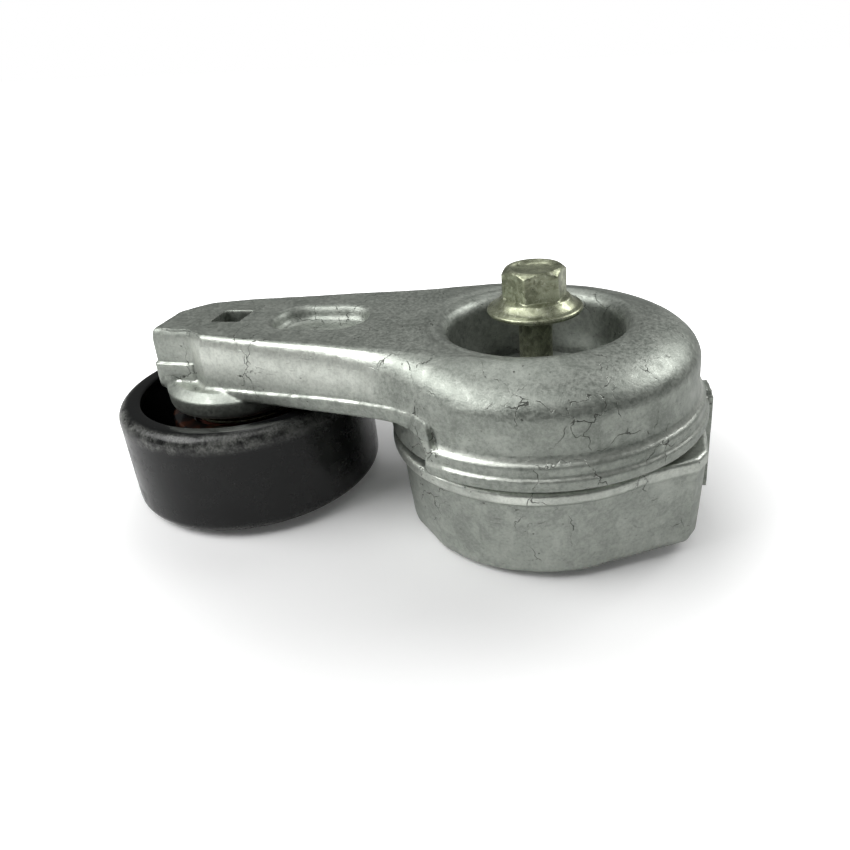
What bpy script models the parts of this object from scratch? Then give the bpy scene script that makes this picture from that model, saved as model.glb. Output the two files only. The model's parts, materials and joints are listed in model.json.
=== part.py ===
"""Belt tensioner idler: a sprung arm on a cast base, with a smooth pulley on sealed bearings."""

import math

import bmesh
import bpy
from mathutils import Matrix, Vector

MM = 0.001

# Layout: the pivot axis is Z at the origin, the base stands on z = 0, the pulley is at -X.
ARM_REACH = 90.5
PULLEY_AT = (-ARM_REACH, 0.0)

# Base
BASE_R_LOW = 38.0
BASE_R_HIGH = 39.4
BASE_RIM_R = 41.5
BASE_RIM_LOW = 22.8
BASE_TOP = 26.3
CUP_R = 34.4
CUP_R_RIM = 38.3
CUP_RIM_FROM = 23.4
FLOOR_T = 4.0
HUB_R = 14.0
HUB_TOP = 10.0
LUG_ANGLE = -60.0
LUG_DEPTH = 37.95
LUG_X = 40.6
DOWEL_R = 4.0
DOWEL_DEPTH = 7.0
DOWEL_AT = (38.0, -11.0)
FACET_ANGLE = 222.0
FACET_R = 36.9
FACET_SLOPE = 0.24

# Pivot
TUBE_R = 9.0
TUBE_BORE_R = 5.7
TUBE_TOP = 39.4
TUBE_HEAD_R = 11.5
FIT_GAP = 0.3

# Arm
FLANGE_R = 45.4
FLANGE_LOW = 29.1
FLANGE_MID = 32.3
FLANGE_TOP = 35.6
DRUM_R = 42.6
DRUM_WALL_TOP = 45.5
DOME_CENTRE_R = 20.5
DOME_ARC = 71.8
CREST_TOP = 55.0
ARM_TOP = 55.5
CREST_R = 27.4
WELL_R = 23.6
WELL_FLOOR_R = 22.6
WELL_FLOOR = 33.0
WELL_WALL = 3.0
DRUM_WALL = 4.4
ARM_HUB_R = 15.4
ARM_HUB_BORE_R = 11.7
ARM_HUB_LOW = 10.8
PLATE_LOW = 36.9
LIP_TOP = 40.2
BOSS_R = 23.0
BOSS_LOW = 31.6
STEM_R = 12.0
STEM_LOW = 26.3
PULLEY_BOLT_R = 4.9
DRIVE_SIDE = 9.6
TAB_ANGLES = (1.0, 11.0)
TAB_LOW = 4.4
TAB_R = 46.7
STOP_ANGLES = (45.0, 57.0)
TRIM_R = 41.4

# The arm's side from its end to the drum: x and y of its wall, the reach and the foot of its
# rounded upper edge, how far its lip stands out and the lip's top
ARM_SIDE = [
    (-92.0, 17.2, 1.9, 47.5, 0.9, LIP_TOP),
    (-76.4, 20.3, 2.4, 46.2, 0.9, 40.8),
    (-51.8, 24.7, 3.3, 45.5, 0.9, 41.7),
    (-35.8, 29.0, 5.2, 45.5, 0.9, 42.3),
    (-28.9, 32.3, 7.2, 45.5, 0.7, 42.6),
    (-24.1, 34.9, 9.2, 45.5, 0.2, 42.7),
    (-19.9, 37.4, 11.2, 45.5, -0.6, 42.7),
    (-15.9, 39.3, 13.6, 45.5, -0.8, 42.7),
    (-11.7, 40.7, 16.6, 45.5, -0.8, 42.7),
    (-7.4, 41.7, 19.2, 45.5, -0.8, 42.7),
    (-3.0, 42.25, 21.0, 45.5, -0.8, 42.7),
    (0.0, 42.35, 21.6, 45.5, -0.8, 42.7),
]
ARM_END = [(-92.5, -17.2), (-98.5, -12.3), (-111.8, -11.4), (-112, 4.5), (-108.5, 9.5), (-104.5, 13.6)]
ARM_END_EDGE = (1.8, 51.0, 0.9, LIP_TOP)

# Spring
SPRING_R = 30.6
SPRING_WIRE_R = 2.5
SPRING_LOW = 9.3
SPRING_HIGH = 45.8
SPRING_TURNS = 4.5

# Mounting bolt
BOLT_LOW = 0.6
BOLT_HEAD_LOW = 57.2
BOLT_R = 5.0
BOLT_SHANK_R = 4.5
BOLT_THREAD_TOP = 33.0
BOLT_FLANGE_R = 12.7
HEX_FLATS = 15.2
HEX_TOP = 69.3
HEX_TURN = -9.7

# Pulley
PULLEY_R = 38.0
PULLEY_LOW = 3.9
PULLEY_HIGH = 34.7
RIM_INNER_R = 31.3
SHELL_T = 2.8
BEARING_OUT_R = 20.0
BEARING_IN_R = 8.5
BEARING_LOW = 13.9
BEARING_HIGH = 25.9
BALL_R = 3.4
BALL_PITCH_R = 14.25
BALLS = 8

# Collars: name, colour, metallic, roughness
SLOTS = {
    "cast": ((0.52, 0.54, 0.52), 1.0, 0.5),
    "cast_arm": ((0.55, 0.57, 0.55), 1.0, 0.5),
    "black": ((0.02, 0.02, 0.022), 0.0, 0.25),
    "zinc": ((0.6, 0.58, 0.46), 1.0, 0.35),
    "steel": ((0.5, 0.5, 0.52), 1.0, 0.3),
    "polished": ((0.75, 0.75, 0.77), 1.0, 0.12),
    "spring_steel": ((0.2, 0.2, 0.22), 1.0, 0.4),
    "nylon": ((0.06, 0.06, 0.065), 0.0, 0.5),
    "bronze": ((0.6, 0.42, 0.2), 1.0, 0.4),
    "seal": ((0.12, 0.03, 0.02), 0.0, 0.55),
}


def clear_scene():
    for obj in list(bpy.data.objects):
        bpy.data.objects.remove(obj)


def material(slot):
    found = bpy.data.materials.get(slot)
    if found:
        return found
    colour, metallic, roughness = SLOTS[slot]
    made = bpy.data.materials.new(slot)
    made.use_nodes = True
    shader = made.node_tree.nodes["Principled BSDF"]
    shader.inputs["Base Color"].default_value = (*colour, 1.0)
    shader.inputs["Metallic"].default_value = metallic
    shader.inputs["Roughness"].default_value = roughness
    return made


def scaled(points):
    return [tuple(c * MM for c in p) for p in points]


def add(name, mesh, slot, at=(0.0, 0.0, 0.0)):
    obj = bpy.data.objects.new(name, mesh)
    bpy.context.scene.collection.objects.link(obj)
    obj.location = Vector(at) * MM
    if slot:
        mesh.materials.append(material(slot))
    for polygon in mesh.polygons:
        polygon.use_smooth = True
    mesh.set_sharp_from_angle(angle=math.radians(32))
    return obj


def mesh_of(name, verts, faces):
    mesh = bpy.data.meshes.new(name)
    mesh.from_pydata(scaled(verts), [], faces)
    bm = bmesh.new()
    bm.from_mesh(mesh)
    bmesh.ops.recalc_face_normals(bm, faces=bm.faces)
    bm.to_mesh(mesh)
    bm.free()
    return mesh


def lathe(name, profile, slot, at=(0.0, 0.0, 0.0), steps=64):
    """A closed (radius, z) outline turned about Z: a ring when it stays off the axis."""
    count = len(profile)
    verts = []
    for step in range(steps):
        a = 2 * math.pi * step / steps
        verts += [(r * math.cos(a), r * math.sin(a), z) for r, z in profile]
    faces = []
    for step in range(steps):
        here, there = step * count, (step + 1) % steps * count
        for i in range(count):
            j = (i + 1) % count
            faces.append((here + i, there + i, there + j, here + j))
    mesh = mesh_of(name, verts, faces)
    bm = bmesh.new()
    bm.from_mesh(mesh)
    bmesh.ops.remove_doubles(bm, verts=bm.verts, dist=1e-7)
    bmesh.ops.dissolve_degenerate(bm, edges=bm.edges, dist=1e-7)
    bmesh.ops.recalc_face_normals(bm, faces=bm.faces)
    bm.to_mesh(mesh)
    bm.free()
    return add(name, mesh, slot, at)


def lofted(name, sections, slot, at=(0.0, 0.0, 0.0)):
    """A solid through sections that all have the same number of points."""
    count = len(sections[0])
    verts = [point for section in sections for point in section]
    faces = [tuple(reversed(range(count)))]
    for level in range(len(sections) - 1):
        low, high = level * count, (level + 1) * count
        for i in range(count):
            j = (i + 1) % count
            faces.append((low + i, low + j, high + j, high + i))
    top = (len(sections) - 1) * count
    faces.append(tuple(range(top, top + count)))
    return add(name, mesh_of(name, verts, faces), slot, at)


def triangulated(obj):
    bm = bmesh.new()
    bm.from_mesh(obj.data)
    bmesh.ops.triangulate(bm, faces=bm.faces)
    bm.to_mesh(obj.data)
    bm.free()
    return obj


def layered(name, rings, slot, at=(0.0, 0.0, 0.0)):
    """A solid through level outlines: [(points_xy, z), ...] upwards."""
    sections = [[(x, y, z) for x, y in points] for points, z in rings]
    return lofted(name, sections, slot, at)


def circle(radius, steps=64, centre=(0.0, 0.0), start=0.0):
    return [
        (
            centre[0] + radius * math.cos(start + 2 * math.pi * i / steps),
            centre[1] + radius * math.sin(start + 2 * math.pi * i / steps),
        )
        for i in range(steps)
    ]


def cylinder(name, radius, low, high, centre=(0.0, 0.0), steps=48, slot=None):
    ring = circle(radius, steps, centre)
    return layered(name, [(ring, low), (ring, high)], slot)


def turned(name, profile, steps=64, centre=(0.0, 0.0), slot=None):
    """A solid of revolution through (radius, z) rings, capped at both ends."""
    return layered(name, [(circle(r, steps, centre), z) for r, z in profile], slot)


def boolean(target, tool, operation):
    modifier = target.modifiers.new(tool.name, "BOOLEAN")
    modifier.operation = operation
    modifier.solver = "MANIFOLD"
    modifier.object = tool
    tool.hide_render = True
    tool.display_type = "WIRE"


def cut(target, *tools):
    for tool in tools:
        boolean(target, tool, "DIFFERENCE")


def join(target, *tools):
    for tool in tools:
        boolean(target, tool, "UNION")


def box(name, low, high, slot=None):
    ring = [(low[0], low[1]), (high[0], low[1]), (high[0], high[1]), (low[0], high[1])]
    return layered(name, [(ring, low[2]), (ring, high[2])], slot)


def inset(points, distance):
    """The outline moved inwards along its own normals: for outlines that go round counter-clockwise."""
    moved = []
    count = len(points)
    for i, (x, y) in enumerate(points):
        before, after = Vector(points[i - 1]), Vector(points[(i + 1) % count])
        along = (after - before).normalized()
        moved.append((x - along.y * distance, y + along.x * distance))
    return moved


def rounded(points, radii, steps=5):
    """A polygon (counter-clockwise) with its corners rounded."""
    out = []
    count = len(points)
    for i in range(count):
        p, q, s = Vector(points[i - 1]), Vector(points[i]), Vector(points[(i + 1) % count])
        radius = radii[i] if isinstance(radii, (list, tuple)) else radii
        if radius <= 0:
            out.append(tuple(q))
            continue
        u, v = (p - q).normalized(), (s - q).normalized()
        half = u.angle(v) / 2
        back = radius / math.tan(half)
        start, end = q + u * back, q + v * back
        middle = q + (u + v).normalized() * (radius / math.sin(half))
        a, b = start - middle, end - middle
        turn = math.atan2(a.x * b.y - a.y * b.x, a.dot(b))
        for k in range(steps + 1):
            c, d = math.cos(turn * k / steps), math.sin(turn * k / steps)
            out.append((middle.x + a.x * c - a.y * d, middle.y + a.x * d + a.y * c))
    return out


# ---------------------------------------------------------------- base


def lug_outline(grow):
    """The lug at the right: the straight side runs off the cup's circle as a tangent."""
    a = math.radians(LUG_ANGLE)
    normal = Vector((math.cos(a), math.sin(a)))
    along = Vector((-normal.y, normal.x))
    depth = LUG_DEPTH + grow
    reach = (LUG_X + grow * 0.8 - normal.x * depth) / along.x
    corner = normal * depth + along * reach
    side = LUG_X + 2.2 + grow * 0.9
    points = [
        tuple(normal * depth - along * 2.0),
        tuple(corner),
        (side, corner.y + 4.6),
        (side + 0.2, -4.6),
        (34.0, 9.0),
        (4.0, 12.0),
    ]
    return rounded(points, [0, 2.2, 3.0, 1.6, 0, 0], 4)


def stop_outline(outer):
    """The far stop: the tab meets its radial side at the end of the arm's swing."""
    a, b = (math.radians(angle) for angle in STOP_ANGLES)
    points = [
        (35.0 * math.cos(a), 35.0 * math.sin(a)),
        (outer * math.cos(a), outer * math.sin(a)),
        (outer * math.cos(b), outer * math.sin(b)),
        (35.0 * math.cos(b), 35.0 * math.sin(b)),
    ]
    return rounded(points, [0, 1.5, 1.5, 0], 3)


def make_base():
    steps = 64
    cup = layered(
        "base_housing",
        [
            (circle(BASE_R_LOW - 1.2, steps), 0.0),
            (circle(BASE_R_LOW, steps), 1.2),
            (circle(BASE_R_HIGH, steps), BASE_RIM_LOW - 1.0),
            (circle(BASE_RIM_R - 0.5, steps), BASE_RIM_LOW),
            (circle(BASE_RIM_R, steps), BASE_RIM_LOW + 0.8),
            (circle(BASE_RIM_R, steps), BASE_TOP - 0.8),
            (circle(BASE_RIM_R - 0.8, steps), BASE_TOP),
        ],
        "cast",
    )
    lug = layered(
        "lug_add",
        [
            (lug_outline(-1.2), 0.0),
            (lug_outline(0.0), 1.6),
            (lug_outline(1.3), BASE_RIM_LOW - 0.6),
            (lug_outline(1.7), BASE_RIM_LOW),
            (lug_outline(1.8), BASE_TOP - 0.8),
            (lug_outline(1.2), BASE_TOP - 0.02),
        ],
        None,
    )
    stop = layered(
        "stop_add",
        [
            (stop_outline(45.4), 0.0),
            (stop_outline(47.0), BASE_TOP - 0.02),
        ],
        None,
    )
    join(cup, lug, stop)
    cavity = layered(
        "cavity_cut",
        [
            (circle(CUP_R - 0.8, 48), FLOOR_T),
            (circle(CUP_R, 48), FLOOR_T + 0.8),
            (circle(CUP_R, 48), CUP_RIM_FROM - 2.4),
            (circle(CUP_R_RIM, 48), CUP_RIM_FROM),
            (circle(CUP_R_RIM, 48), BASE_TOP + 5),
        ],
        None,
    )
    cut(cup, cavity)
    hub = layered(
        "hub_add",
        [(circle(HUB_R + 0.5, 40), 1.0), (circle(HUB_R, 40), HUB_TOP)],
        None,
    )
    join(cup, hub)
    cut(
        cup,
        cylinder("tube_cut", TUBE_R + FIT_GAP, -1, HUB_TOP + 2, steps=48),
        cylinder("dowel_cut", DOWEL_R, -1, DOWEL_DEPTH, DOWEL_AT, 24),
        facet_cutter(),
    )
    return cup


def facet_cutter():
    """The slanted flat at the lower left of the cup."""
    turn = math.radians(FACET_ANGLE)
    flat = Vector((math.cos(turn), math.sin(turn), 0))
    outward = (flat + Vector((0, 0, -FACET_SLOPE))).normalized()
    side = Vector((-flat.y, flat.x, 0))
    up = outward.cross(side)
    corners = []
    for depth in (0.0, 12.0):
        for s, t in ((-40, -30), (40, -30), (40, 30), (-40, 30)):
            corners.append(flat * FACET_R + side * s + up * t + outward * depth)
    faces = [(0, 1, 2, 3), (7, 6, 5, 4), (0, 4, 5, 1), (1, 5, 6, 2), (2, 6, 7, 3), (3, 7, 4, 0)]
    return add("facet_cut", mesh_of("facet_cut", [tuple(c) for c in corners], faces), None)


# ---------------------------------------------------------------- arm


def curve(rows, steps):
    """A smooth open curve through rows of numbers."""
    rows = [Vector(row) for row in rows]
    rows = [2 * rows[0] - rows[1], *rows, 2 * rows[-1] - rows[-2]]
    out = []
    for a, b, c, d in zip(rows, rows[1:], rows[2:], rows[3:]):
        for step in range(steps):
            t = step / steps
            bend = 2 * a - 5 * b + 4 * c - d + (3 * (b - c) + d - a) * t
            out.append(b + (c - a + bend * t) * t * 0.5)
    return [*out, rows[-2]]


def arm_loop():
    """The arm's side from the drum's far side round its end to the near side, as rows of ARM_SIDE."""
    far = [tuple(row) for row in curve(ARM_SIDE, 2)]
    near = [(row[0], -row[1], *row[2:]) for row in far]
    corners = [far[1][:2], far[0][:2], *reversed(ARM_END), near[0][:2], near[1][:2]]
    end = rounded(corners, [0, 6, 5, 4, 5, 1.6, 1.8, 2.2, 1.0, 0], 4)[1:-1]
    rows = []
    for x, y in end:
        lead = min(1.0, max(0.0, (-x - 92.0) / 8.0))
        rows.append((x, y, *(a * (1 - lead) + b * lead for a, b in zip(far[0][2:], ARM_END_EDGE))))
    return [*reversed(far[1:]), *rows, *near[1:]]


def arm_plate():
    """The arm: its lip, its wall and the rounded upper edge that widens into the drum's dome."""
    loop = arm_loop()
    inward = []
    for i, (x, y, *_) in enumerate(loop):
        if i in (0, len(loop) - 1):
            inward.append((0.0, -1.0 if y > 0 else 1.0))
            continue
        dx, dy = loop[i + 1][0] - loop[i - 1][0], loop[i + 1][1] - loop[i - 1][1]
        inward.append((-dy / math.hypot(dx, dy), dx / math.hypot(dx, dy)))
    rings = [[] for _ in range(12)]
    for (x, y, reach, foot, out, lip), (u, v) in zip(loop, inward):
        levels = [(PLATE_LOW, -0.5 * out), (PLATE_LOW + 0.6, -out), (lip - 0.8, -out), (lip, -0.3 * out)]
        for degrees in (0, 15, 30, 45, 60, 72, 81, 90):
            a = math.radians(degrees)
            levels.append((foot + (ARM_TOP - foot) * math.sin(a), reach * (1 - math.cos(a))))
        for ring, (z, shift) in zip(rings, levels):
            ring.append((x + u * shift, y + v * shift, z))
    return triangulated(lofted("plate_add", rings, None))


def drum_profile():
    dome = []
    for k in range(8):
        a = math.radians(DOME_ARC * k / 7)
        x = DOME_CENTRE_R + (DRUM_R - DOME_CENTRE_R) * math.cos(a)
        dome.append((x, DRUM_WALL_TOP + (ARM_TOP - DRUM_WALL_TOP) * math.sin(a)))
    lip = []
    for k in range(1, 5):
        a = math.radians(90.0 * k / 4)
        lip.append((CREST_R - (CREST_R - WELL_R) * math.sin(a), CREST_TOP - 4.2 + 4.2 * math.cos(a)))
    outside = [
        (FLANGE_R - 1.0, FLANGE_LOW),
        (FLANGE_R, FLANGE_LOW + 0.6),
        (FLANGE_R, FLANGE_MID),
        (FLANGE_R - 0.9, FLANGE_MID + 0.6),
        (FLANGE_R - 0.9, FLANGE_TOP - 0.9),
        (FLANGE_R - 1.5, FLANGE_TOP),
        (DRUM_R + 0.5, FLANGE_TOP + 1.3),
        (DRUM_R, FLANGE_TOP + 3.0),
    ]
    over = dome + lip
    well = [(WELL_FLOOR_R + 0.3, WELL_FLOOR + 1.5), (WELL_FLOOR_R - 1.2, WELL_FLOOR)]
    hub = [
        (ARM_HUB_BORE_R, WELL_FLOOR),
        (ARM_HUB_BORE_R, ARM_HUB_LOW),
        (ARM_HUB_R, ARM_HUB_LOW),
        (ARM_HUB_R, WELL_FLOOR - WELL_WALL - 1.0),
        (WELL_FLOOR_R + WELL_WALL - 1.0, WELL_FLOOR - WELL_WALL),
        (WELL_FLOOR_R + WELL_WALL, WELL_FLOOR - WELL_WALL + 1.0),
        (WELL_R + WELL_WALL, ARM_TOP - 7.5),
        (30.0, ARM_TOP - 5.2),
        (35.0, DRUM_WALL_TOP + 1.6),
        (DRUM_R - DRUM_WALL, DRUM_WALL_TOP - 3.0),
        (DRUM_R - DRUM_WALL, FLANGE_LOW),
    ]
    return outside + over + well + hub


def make_arm():
    arm = lathe("arm_casting", drum_profile(), "cast_arm", steps=60)
    plate = arm_plate()
    inner = DRUM_R - DRUM_WALL + 0.4
    keep_out = turned(
        "well_cut",
        [
            (inner, FLANGE_LOW - 2),
            (inner, DRUM_WALL_TOP - 3.0),
            (35.0, DRUM_WALL_TOP + 2.2),
            (CREST_R + 0.4, ARM_TOP - 4.0),
            (CREST_R + 0.4, CREST_TOP - 0.3),
            (CREST_R + 2.6, ARM_TOP + 0.02),
            (CREST_R + 2.6, ARM_TOP + 3),
        ],
        60,
    )
    cut(plate, keep_out)
    join(arm, plate)
    boss = turned(
        "boss_add",
        [
            (STEM_R, STEM_LOW),
            (STEM_R, BOSS_LOW),
            (BOSS_R - 9.0, BOSS_LOW + 0.02),
            (BOSS_R - 1.6, BOSS_LOW + 0.3),
            (BOSS_R - 0.4, BOSS_LOW + 1.3),
            (BOSS_R - 0.1, PLATE_LOW + 0.7),
            (BOSS_R - 3.0, PLATE_LOW + 3),
        ],
        40,
        PULLEY_AT,
    )
    join(arm, boss, shoulder(1), shoulder(-1), *tab())
    half = DRIVE_SIDE / 2
    x, y = PULLEY_AT
    cut(
        arm,
        box("drive_cut", (x - half, y - half, ARM_TOP - 11.5), (x + half, y + half, ARM_TOP + 2)),
        pocket(),
        cylinder("thread_cut", PULLEY_BOLT_R, STEM_LOW - 2, ARM_TOP - 14.0, PULLEY_AT, 32),
        flange_trim(),
    )
    return arm


def pocket():
    """The oblong sunken pocket, deepest at its drum end."""
    outer = rounded([(-76, -10.2), (-47.6, -10.2), (-47.6, 8.9), (-76, 8.9)], 9.2, 8)
    return layered(
        "pocket_cut",
        [
            (inset(outer, 2.6), ARM_TOP - 6.0),
            (inset(outer, 1.0), ARM_TOP - 4.6),
            (inset(outer, 0.0), ARM_TOP - 0.6),
            (inset(outer, -0.9), ARM_TOP + 0.3),
            (inset(outer, -0.9), ARM_TOP + 2.0),
        ],
        None,
    )


def shoulder(side):
    """The thick block beside the arm, flush with the flange, whose upper edge sweeps down into it."""
    edge = [
        (146.0, 42.6, 41.4),
        (139.0, 42.9, 42.0),
        (132.0, 43.1, 42.6),
        (126.5, 43.2, 42.9),
        (123.4, 43.2, 42.8),
        (121.2, 43.3, 42.0),
        (119.4, 43.5, 40.5),
        (118.2, 44.0, 37.6),
        (116.4, 44.7, 35.4),
        (114.0, 45.1, 33.6),
        (109.5, 45.2, 32.8),
    ]
    sections = []
    for angle, out, top in edge:
        a = math.radians(angle)
        x, y = math.cos(a), math.sin(a) * side
        outline = [(40.6, 29.12), (45.2, 29.12), (45.2, 31.6), (out, top - 1.0), (out - 0.6, top - 0.15)]
        outline += [(out - 1.4, top), (40.6, top)]
        sections.append([(r * x, r * y, z) for r, z in outline])
    return triangulated(lofted("shoulder_add", sections, None))


def flange_trim():
    """What is taken off the flange beside the arm, to clear the belt: a sunken face with a round corner."""
    outline = [(-60, 27), (-23.9, 27), (-22.7, 31.5), (-22.7, 34.8), (-24.3, 37.3), (-27.5, 38.3)]
    outline += [(-33.5, 37.2), (-37, 36.5), (-60, 36.5)]
    block = lofted("trim_cut", [[(x, y, z) for x, z in outline] for y in (-50, 50)], None)
    cut(block, turned("trim_keep_cut", [(TRIM_R, FLANGE_LOW - 3), (TRIM_R, PLATE_LOW + 3)], 60))
    return block


def tab():
    """The stop tab that hangs from the flange outside the base, and the foot that ties it in."""
    low, high = (math.radians(a) for a in TAB_ANGLES)
    inner, outer = FLANGE_R - 0.8, TAB_R
    points = [
        (outer * math.cos(low), outer * math.sin(low)),
        (outer * math.cos(high), outer * math.sin(high)),
        (inner * math.cos(high), inner * math.sin(high)),
        (inner * math.cos(low), inner * math.sin(low)),
    ]
    tall = layered("tab_add", [(points, TAB_LOW), (points, FLANGE_LOW + 3.5)], None)
    a, b = low + 0.012, high - 0.012
    root = [
        ((outer - 0.4) * math.cos(a), (outer - 0.4) * math.sin(a)),
        ((outer - 0.4) * math.cos(b), (outer - 0.4) * math.sin(b)),
        (41.0 * math.cos(b), 41.0 * math.sin(b)),
        (41.0 * math.cos(a), 41.0 * math.sin(a)),
    ]
    foot = layered("tab_foot_add", [(root, FLANGE_LOW + 0.04), (root, FLANGE_TOP - 1.5)], None)
    return tall, foot


# ---------------------------------------------------------------- pivot


def make_pivot():
    lathe(
        "pivot_tube",
        [
            (TUBE_BORE_R, 0.3),
            (TUBE_R - 0.5, 0.3),
            (TUBE_R, 0.9),
            (TUBE_R, TUBE_TOP - 2.0),
            (TUBE_HEAD_R, TUBE_TOP - 1.6),
            (TUBE_HEAD_R, TUBE_TOP - 0.5),
            (TUBE_HEAD_R - 0.6, TUBE_TOP),
            (TUBE_BORE_R + 0.5, TUBE_TOP),
            (TUBE_BORE_R, TUBE_TOP - 0.6),
        ],
        "steel",
        steps=40,
    )
    lathe(
        "retaining_plate",
        [(9.4, 35.2), (20.0, 35.2), (20.4, 35.6), (20.4, 36.5), (20.0, 36.9), (9.4, 36.9)],
        "steel",
        steps=40,
    )
    lathe(
        "thrust_washer",
        [(9.4, 33.3), (19.0, 33.3), (19.0, 34.9), (9.4, 34.9)],
        "nylon",
        steps=40,
    )
    lathe(
        "pivot_bushing",
        [(9.35, 10.9), (11.4, 10.9), (11.4, 32.9), (9.35, 32.9)],
        "bronze",
        steps=40,
    )
    lathe(
        "spring_seat",
        [
            (15.2, FLOOR_T + 0.3),
            (CUP_R - 1.4, FLOOR_T + 0.3),
            (CUP_R - 0.5, FLOOR_T + 1.3),
            (CUP_R - 0.5, FLOOR_T + 6.0),
            (CUP_R - 1.2, FLOOR_T + 6.0),
            (CUP_R - 1.4, FLOOR_T + 2.2),
            (15.2, FLOOR_T + 2.2),
        ],
        "nylon",
        steps=40,
    )
    lathe(
        "damper_ring",
        [(35.6, 23.9), (37.8, 23.9), (37.8, 34.2), (35.6, 34.2)],
        "nylon",
        steps=48,
    )


def make_spring():
    """A round-wire torsion spring whose ends turn inwards."""
    around, per_turn = 8, 20
    total = int(SPRING_TURNS * per_turn)
    path = []
    for k in range(total + 1):
        a = 2 * math.pi * k / per_turn
        z = SPRING_LOW + (SPRING_HIGH - SPRING_LOW) * k / total
        path.append(Vector((SPRING_R * math.cos(a), SPRING_R * math.sin(a), z)))
    verts = []
    for k, centre in enumerate(path):
        ahead = path[min(k + 1, total)] - path[max(k - 1, 0)]
        out = Vector((centre.x, centre.y, 0)).normalized()
        up = out.cross(ahead).normalized()
        for i in range(around):
            b = 2 * math.pi * i / around
            verts.append(tuple(centre + (out * math.cos(b) + up * math.sin(b)) * SPRING_WIRE_R))
    faces = [tuple(range(around))]
    for k in range(total):
        here, there = k * around, (k + 1) * around
        for i in range(around):
            j = (i + 1) % around
            faces.append((here + i, here + j, there + j, there + i))
    faces.append(tuple(reversed(range(total * around, (total + 1) * around))))
    return add("torsion_spring", mesh_of("torsion_spring", verts, faces), "spring_steel")


# ---------------------------------------------------------------- mounting bolt


def hex_ring(flats, turn, radius=None):
    """24 points on a hexagon, or on the circle of the given radius where the hexagon reaches past it."""
    points = []
    for i in range(24):
        a = 2 * math.pi * i / 24
        within = (a + math.pi / 6) % (math.pi / 3) - math.pi / 6
        reach = flats / 2 / math.cos(within)
        if radius:
            reach = min(reach, radius)
        points.append((reach * math.cos(a + turn), reach * math.sin(a + turn)))
    return points


def ring24(radius, turn):
    return circle(radius, 24, (0.0, 0.0), turn)


def make_bolt():
    turn = math.radians(HEX_TURN)
    bolt = layered(
        "mounting_bolt",
        [
            (ring24(BOLT_R - 1.3, turn), BOLT_LOW),
            (ring24(BOLT_R, turn), BOLT_LOW + 1.4),
            (ring24(BOLT_R, turn), BOLT_THREAD_TOP),
            (ring24(BOLT_SHANK_R, turn), BOLT_THREAD_TOP + 0.6),
            (ring24(BOLT_SHANK_R, turn), BOLT_HEAD_LOW),
            (ring24(BOLT_FLANGE_R - 0.4, turn), BOLT_HEAD_LOW),
            (ring24(BOLT_FLANGE_R, turn), BOLT_HEAD_LOW + 0.5),
            (ring24(BOLT_FLANGE_R, turn), BOLT_HEAD_LOW + 1.5),
            (ring24(BOLT_FLANGE_R - 0.6, turn), BOLT_HEAD_LOW + 2.0),
            (ring24(HEX_FLATS / 2 + 1.4, turn), BOLT_HEAD_LOW + 3.6),
            (hex_ring(HEX_FLATS, turn), BOLT_HEAD_LOW + 4.1),
            (hex_ring(HEX_FLATS, turn), HEX_TOP - 1.4),
            (hex_ring(HEX_FLATS, turn, HEX_FLATS / 2 + 0.1), HEX_TOP),
            (ring24(HEX_FLATS / 2 - 1.1, turn), HEX_TOP),
            (ring24(HEX_FLATS / 2 - 2.6, turn), HEX_TOP - 0.7),
        ],
        "zinc",
    )
    lathe(
        "bolt_retainer",
        [(4.75, 35.0), (5.4, 35.0), (5.4, 38.0), (4.75, 38.0)],
        "nylon",
        steps=32,
    )
    return bolt


# ---------------------------------------------------------------- pulley


def pulley_profile():
    """Rolled rims, a belt surface, and a web that carries the bearing seat."""
    t = SHELL_T
    outer = []
    for k in range(5):
        a = math.radians(90.0 * k / 4)
        outer.append((PULLEY_R - 3.6 + 3.6 * math.cos(a), PULLEY_HIGH - 3.6 + 3.6 * math.sin(a)))
    low = []
    for k in range(4):
        a = math.radians(-90.0 + 90.0 * k / 3)
        low.append((PULLEY_R - 3.0 + 3.0 * math.cos(a), PULLEY_LOW + 3.0 + 3.0 * math.sin(a)))
    rim = [
        (RIM_INNER_R + 0.5, PULLEY_HIGH),
        (RIM_INNER_R, PULLEY_HIGH - 0.5),
        (RIM_INNER_R, PULLEY_HIGH - 2.2),
        (RIM_INNER_R + 0.5, PULLEY_HIGH - 2.8),
        (PULLEY_R - t - 1.2, PULLEY_HIGH - 3.6),
        (PULLEY_R - t, PULLEY_HIGH - 5.0),
    ]
    dish = [
        (PULLEY_R - t - 0.6, PULLEY_LOW + 4.4),
        (PULLEY_R - t - 2.0, PULLEY_LOW + 3.0),
        (30.5, PULLEY_LOW + 3.4),
        (25.6, 17.4),
        (23.6, 18.4),
        (23.2, BEARING_HIGH + 1.6),
        (22.6, BEARING_HIGH + 2.3),
        (18.6, BEARING_HIGH + 2.3),
        (18.3, BEARING_HIGH + 1.9),
        (18.3, BEARING_HIGH + 0.6),
        (18.6, BEARING_HIGH + 0.3),
        (BEARING_OUT_R + FIT_GAP, BEARING_HIGH + 0.3),
        (BEARING_OUT_R + FIT_GAP, BEARING_LOW - 0.5),
        (20.8, BEARING_LOW - 1.4),
        (23.0, BEARING_LOW - 1.4),
        (26.0, PULLEY_LOW + 1.6),
        (28.0, PULLEY_LOW),
    ]
    return low + outer + rim + dish


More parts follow.
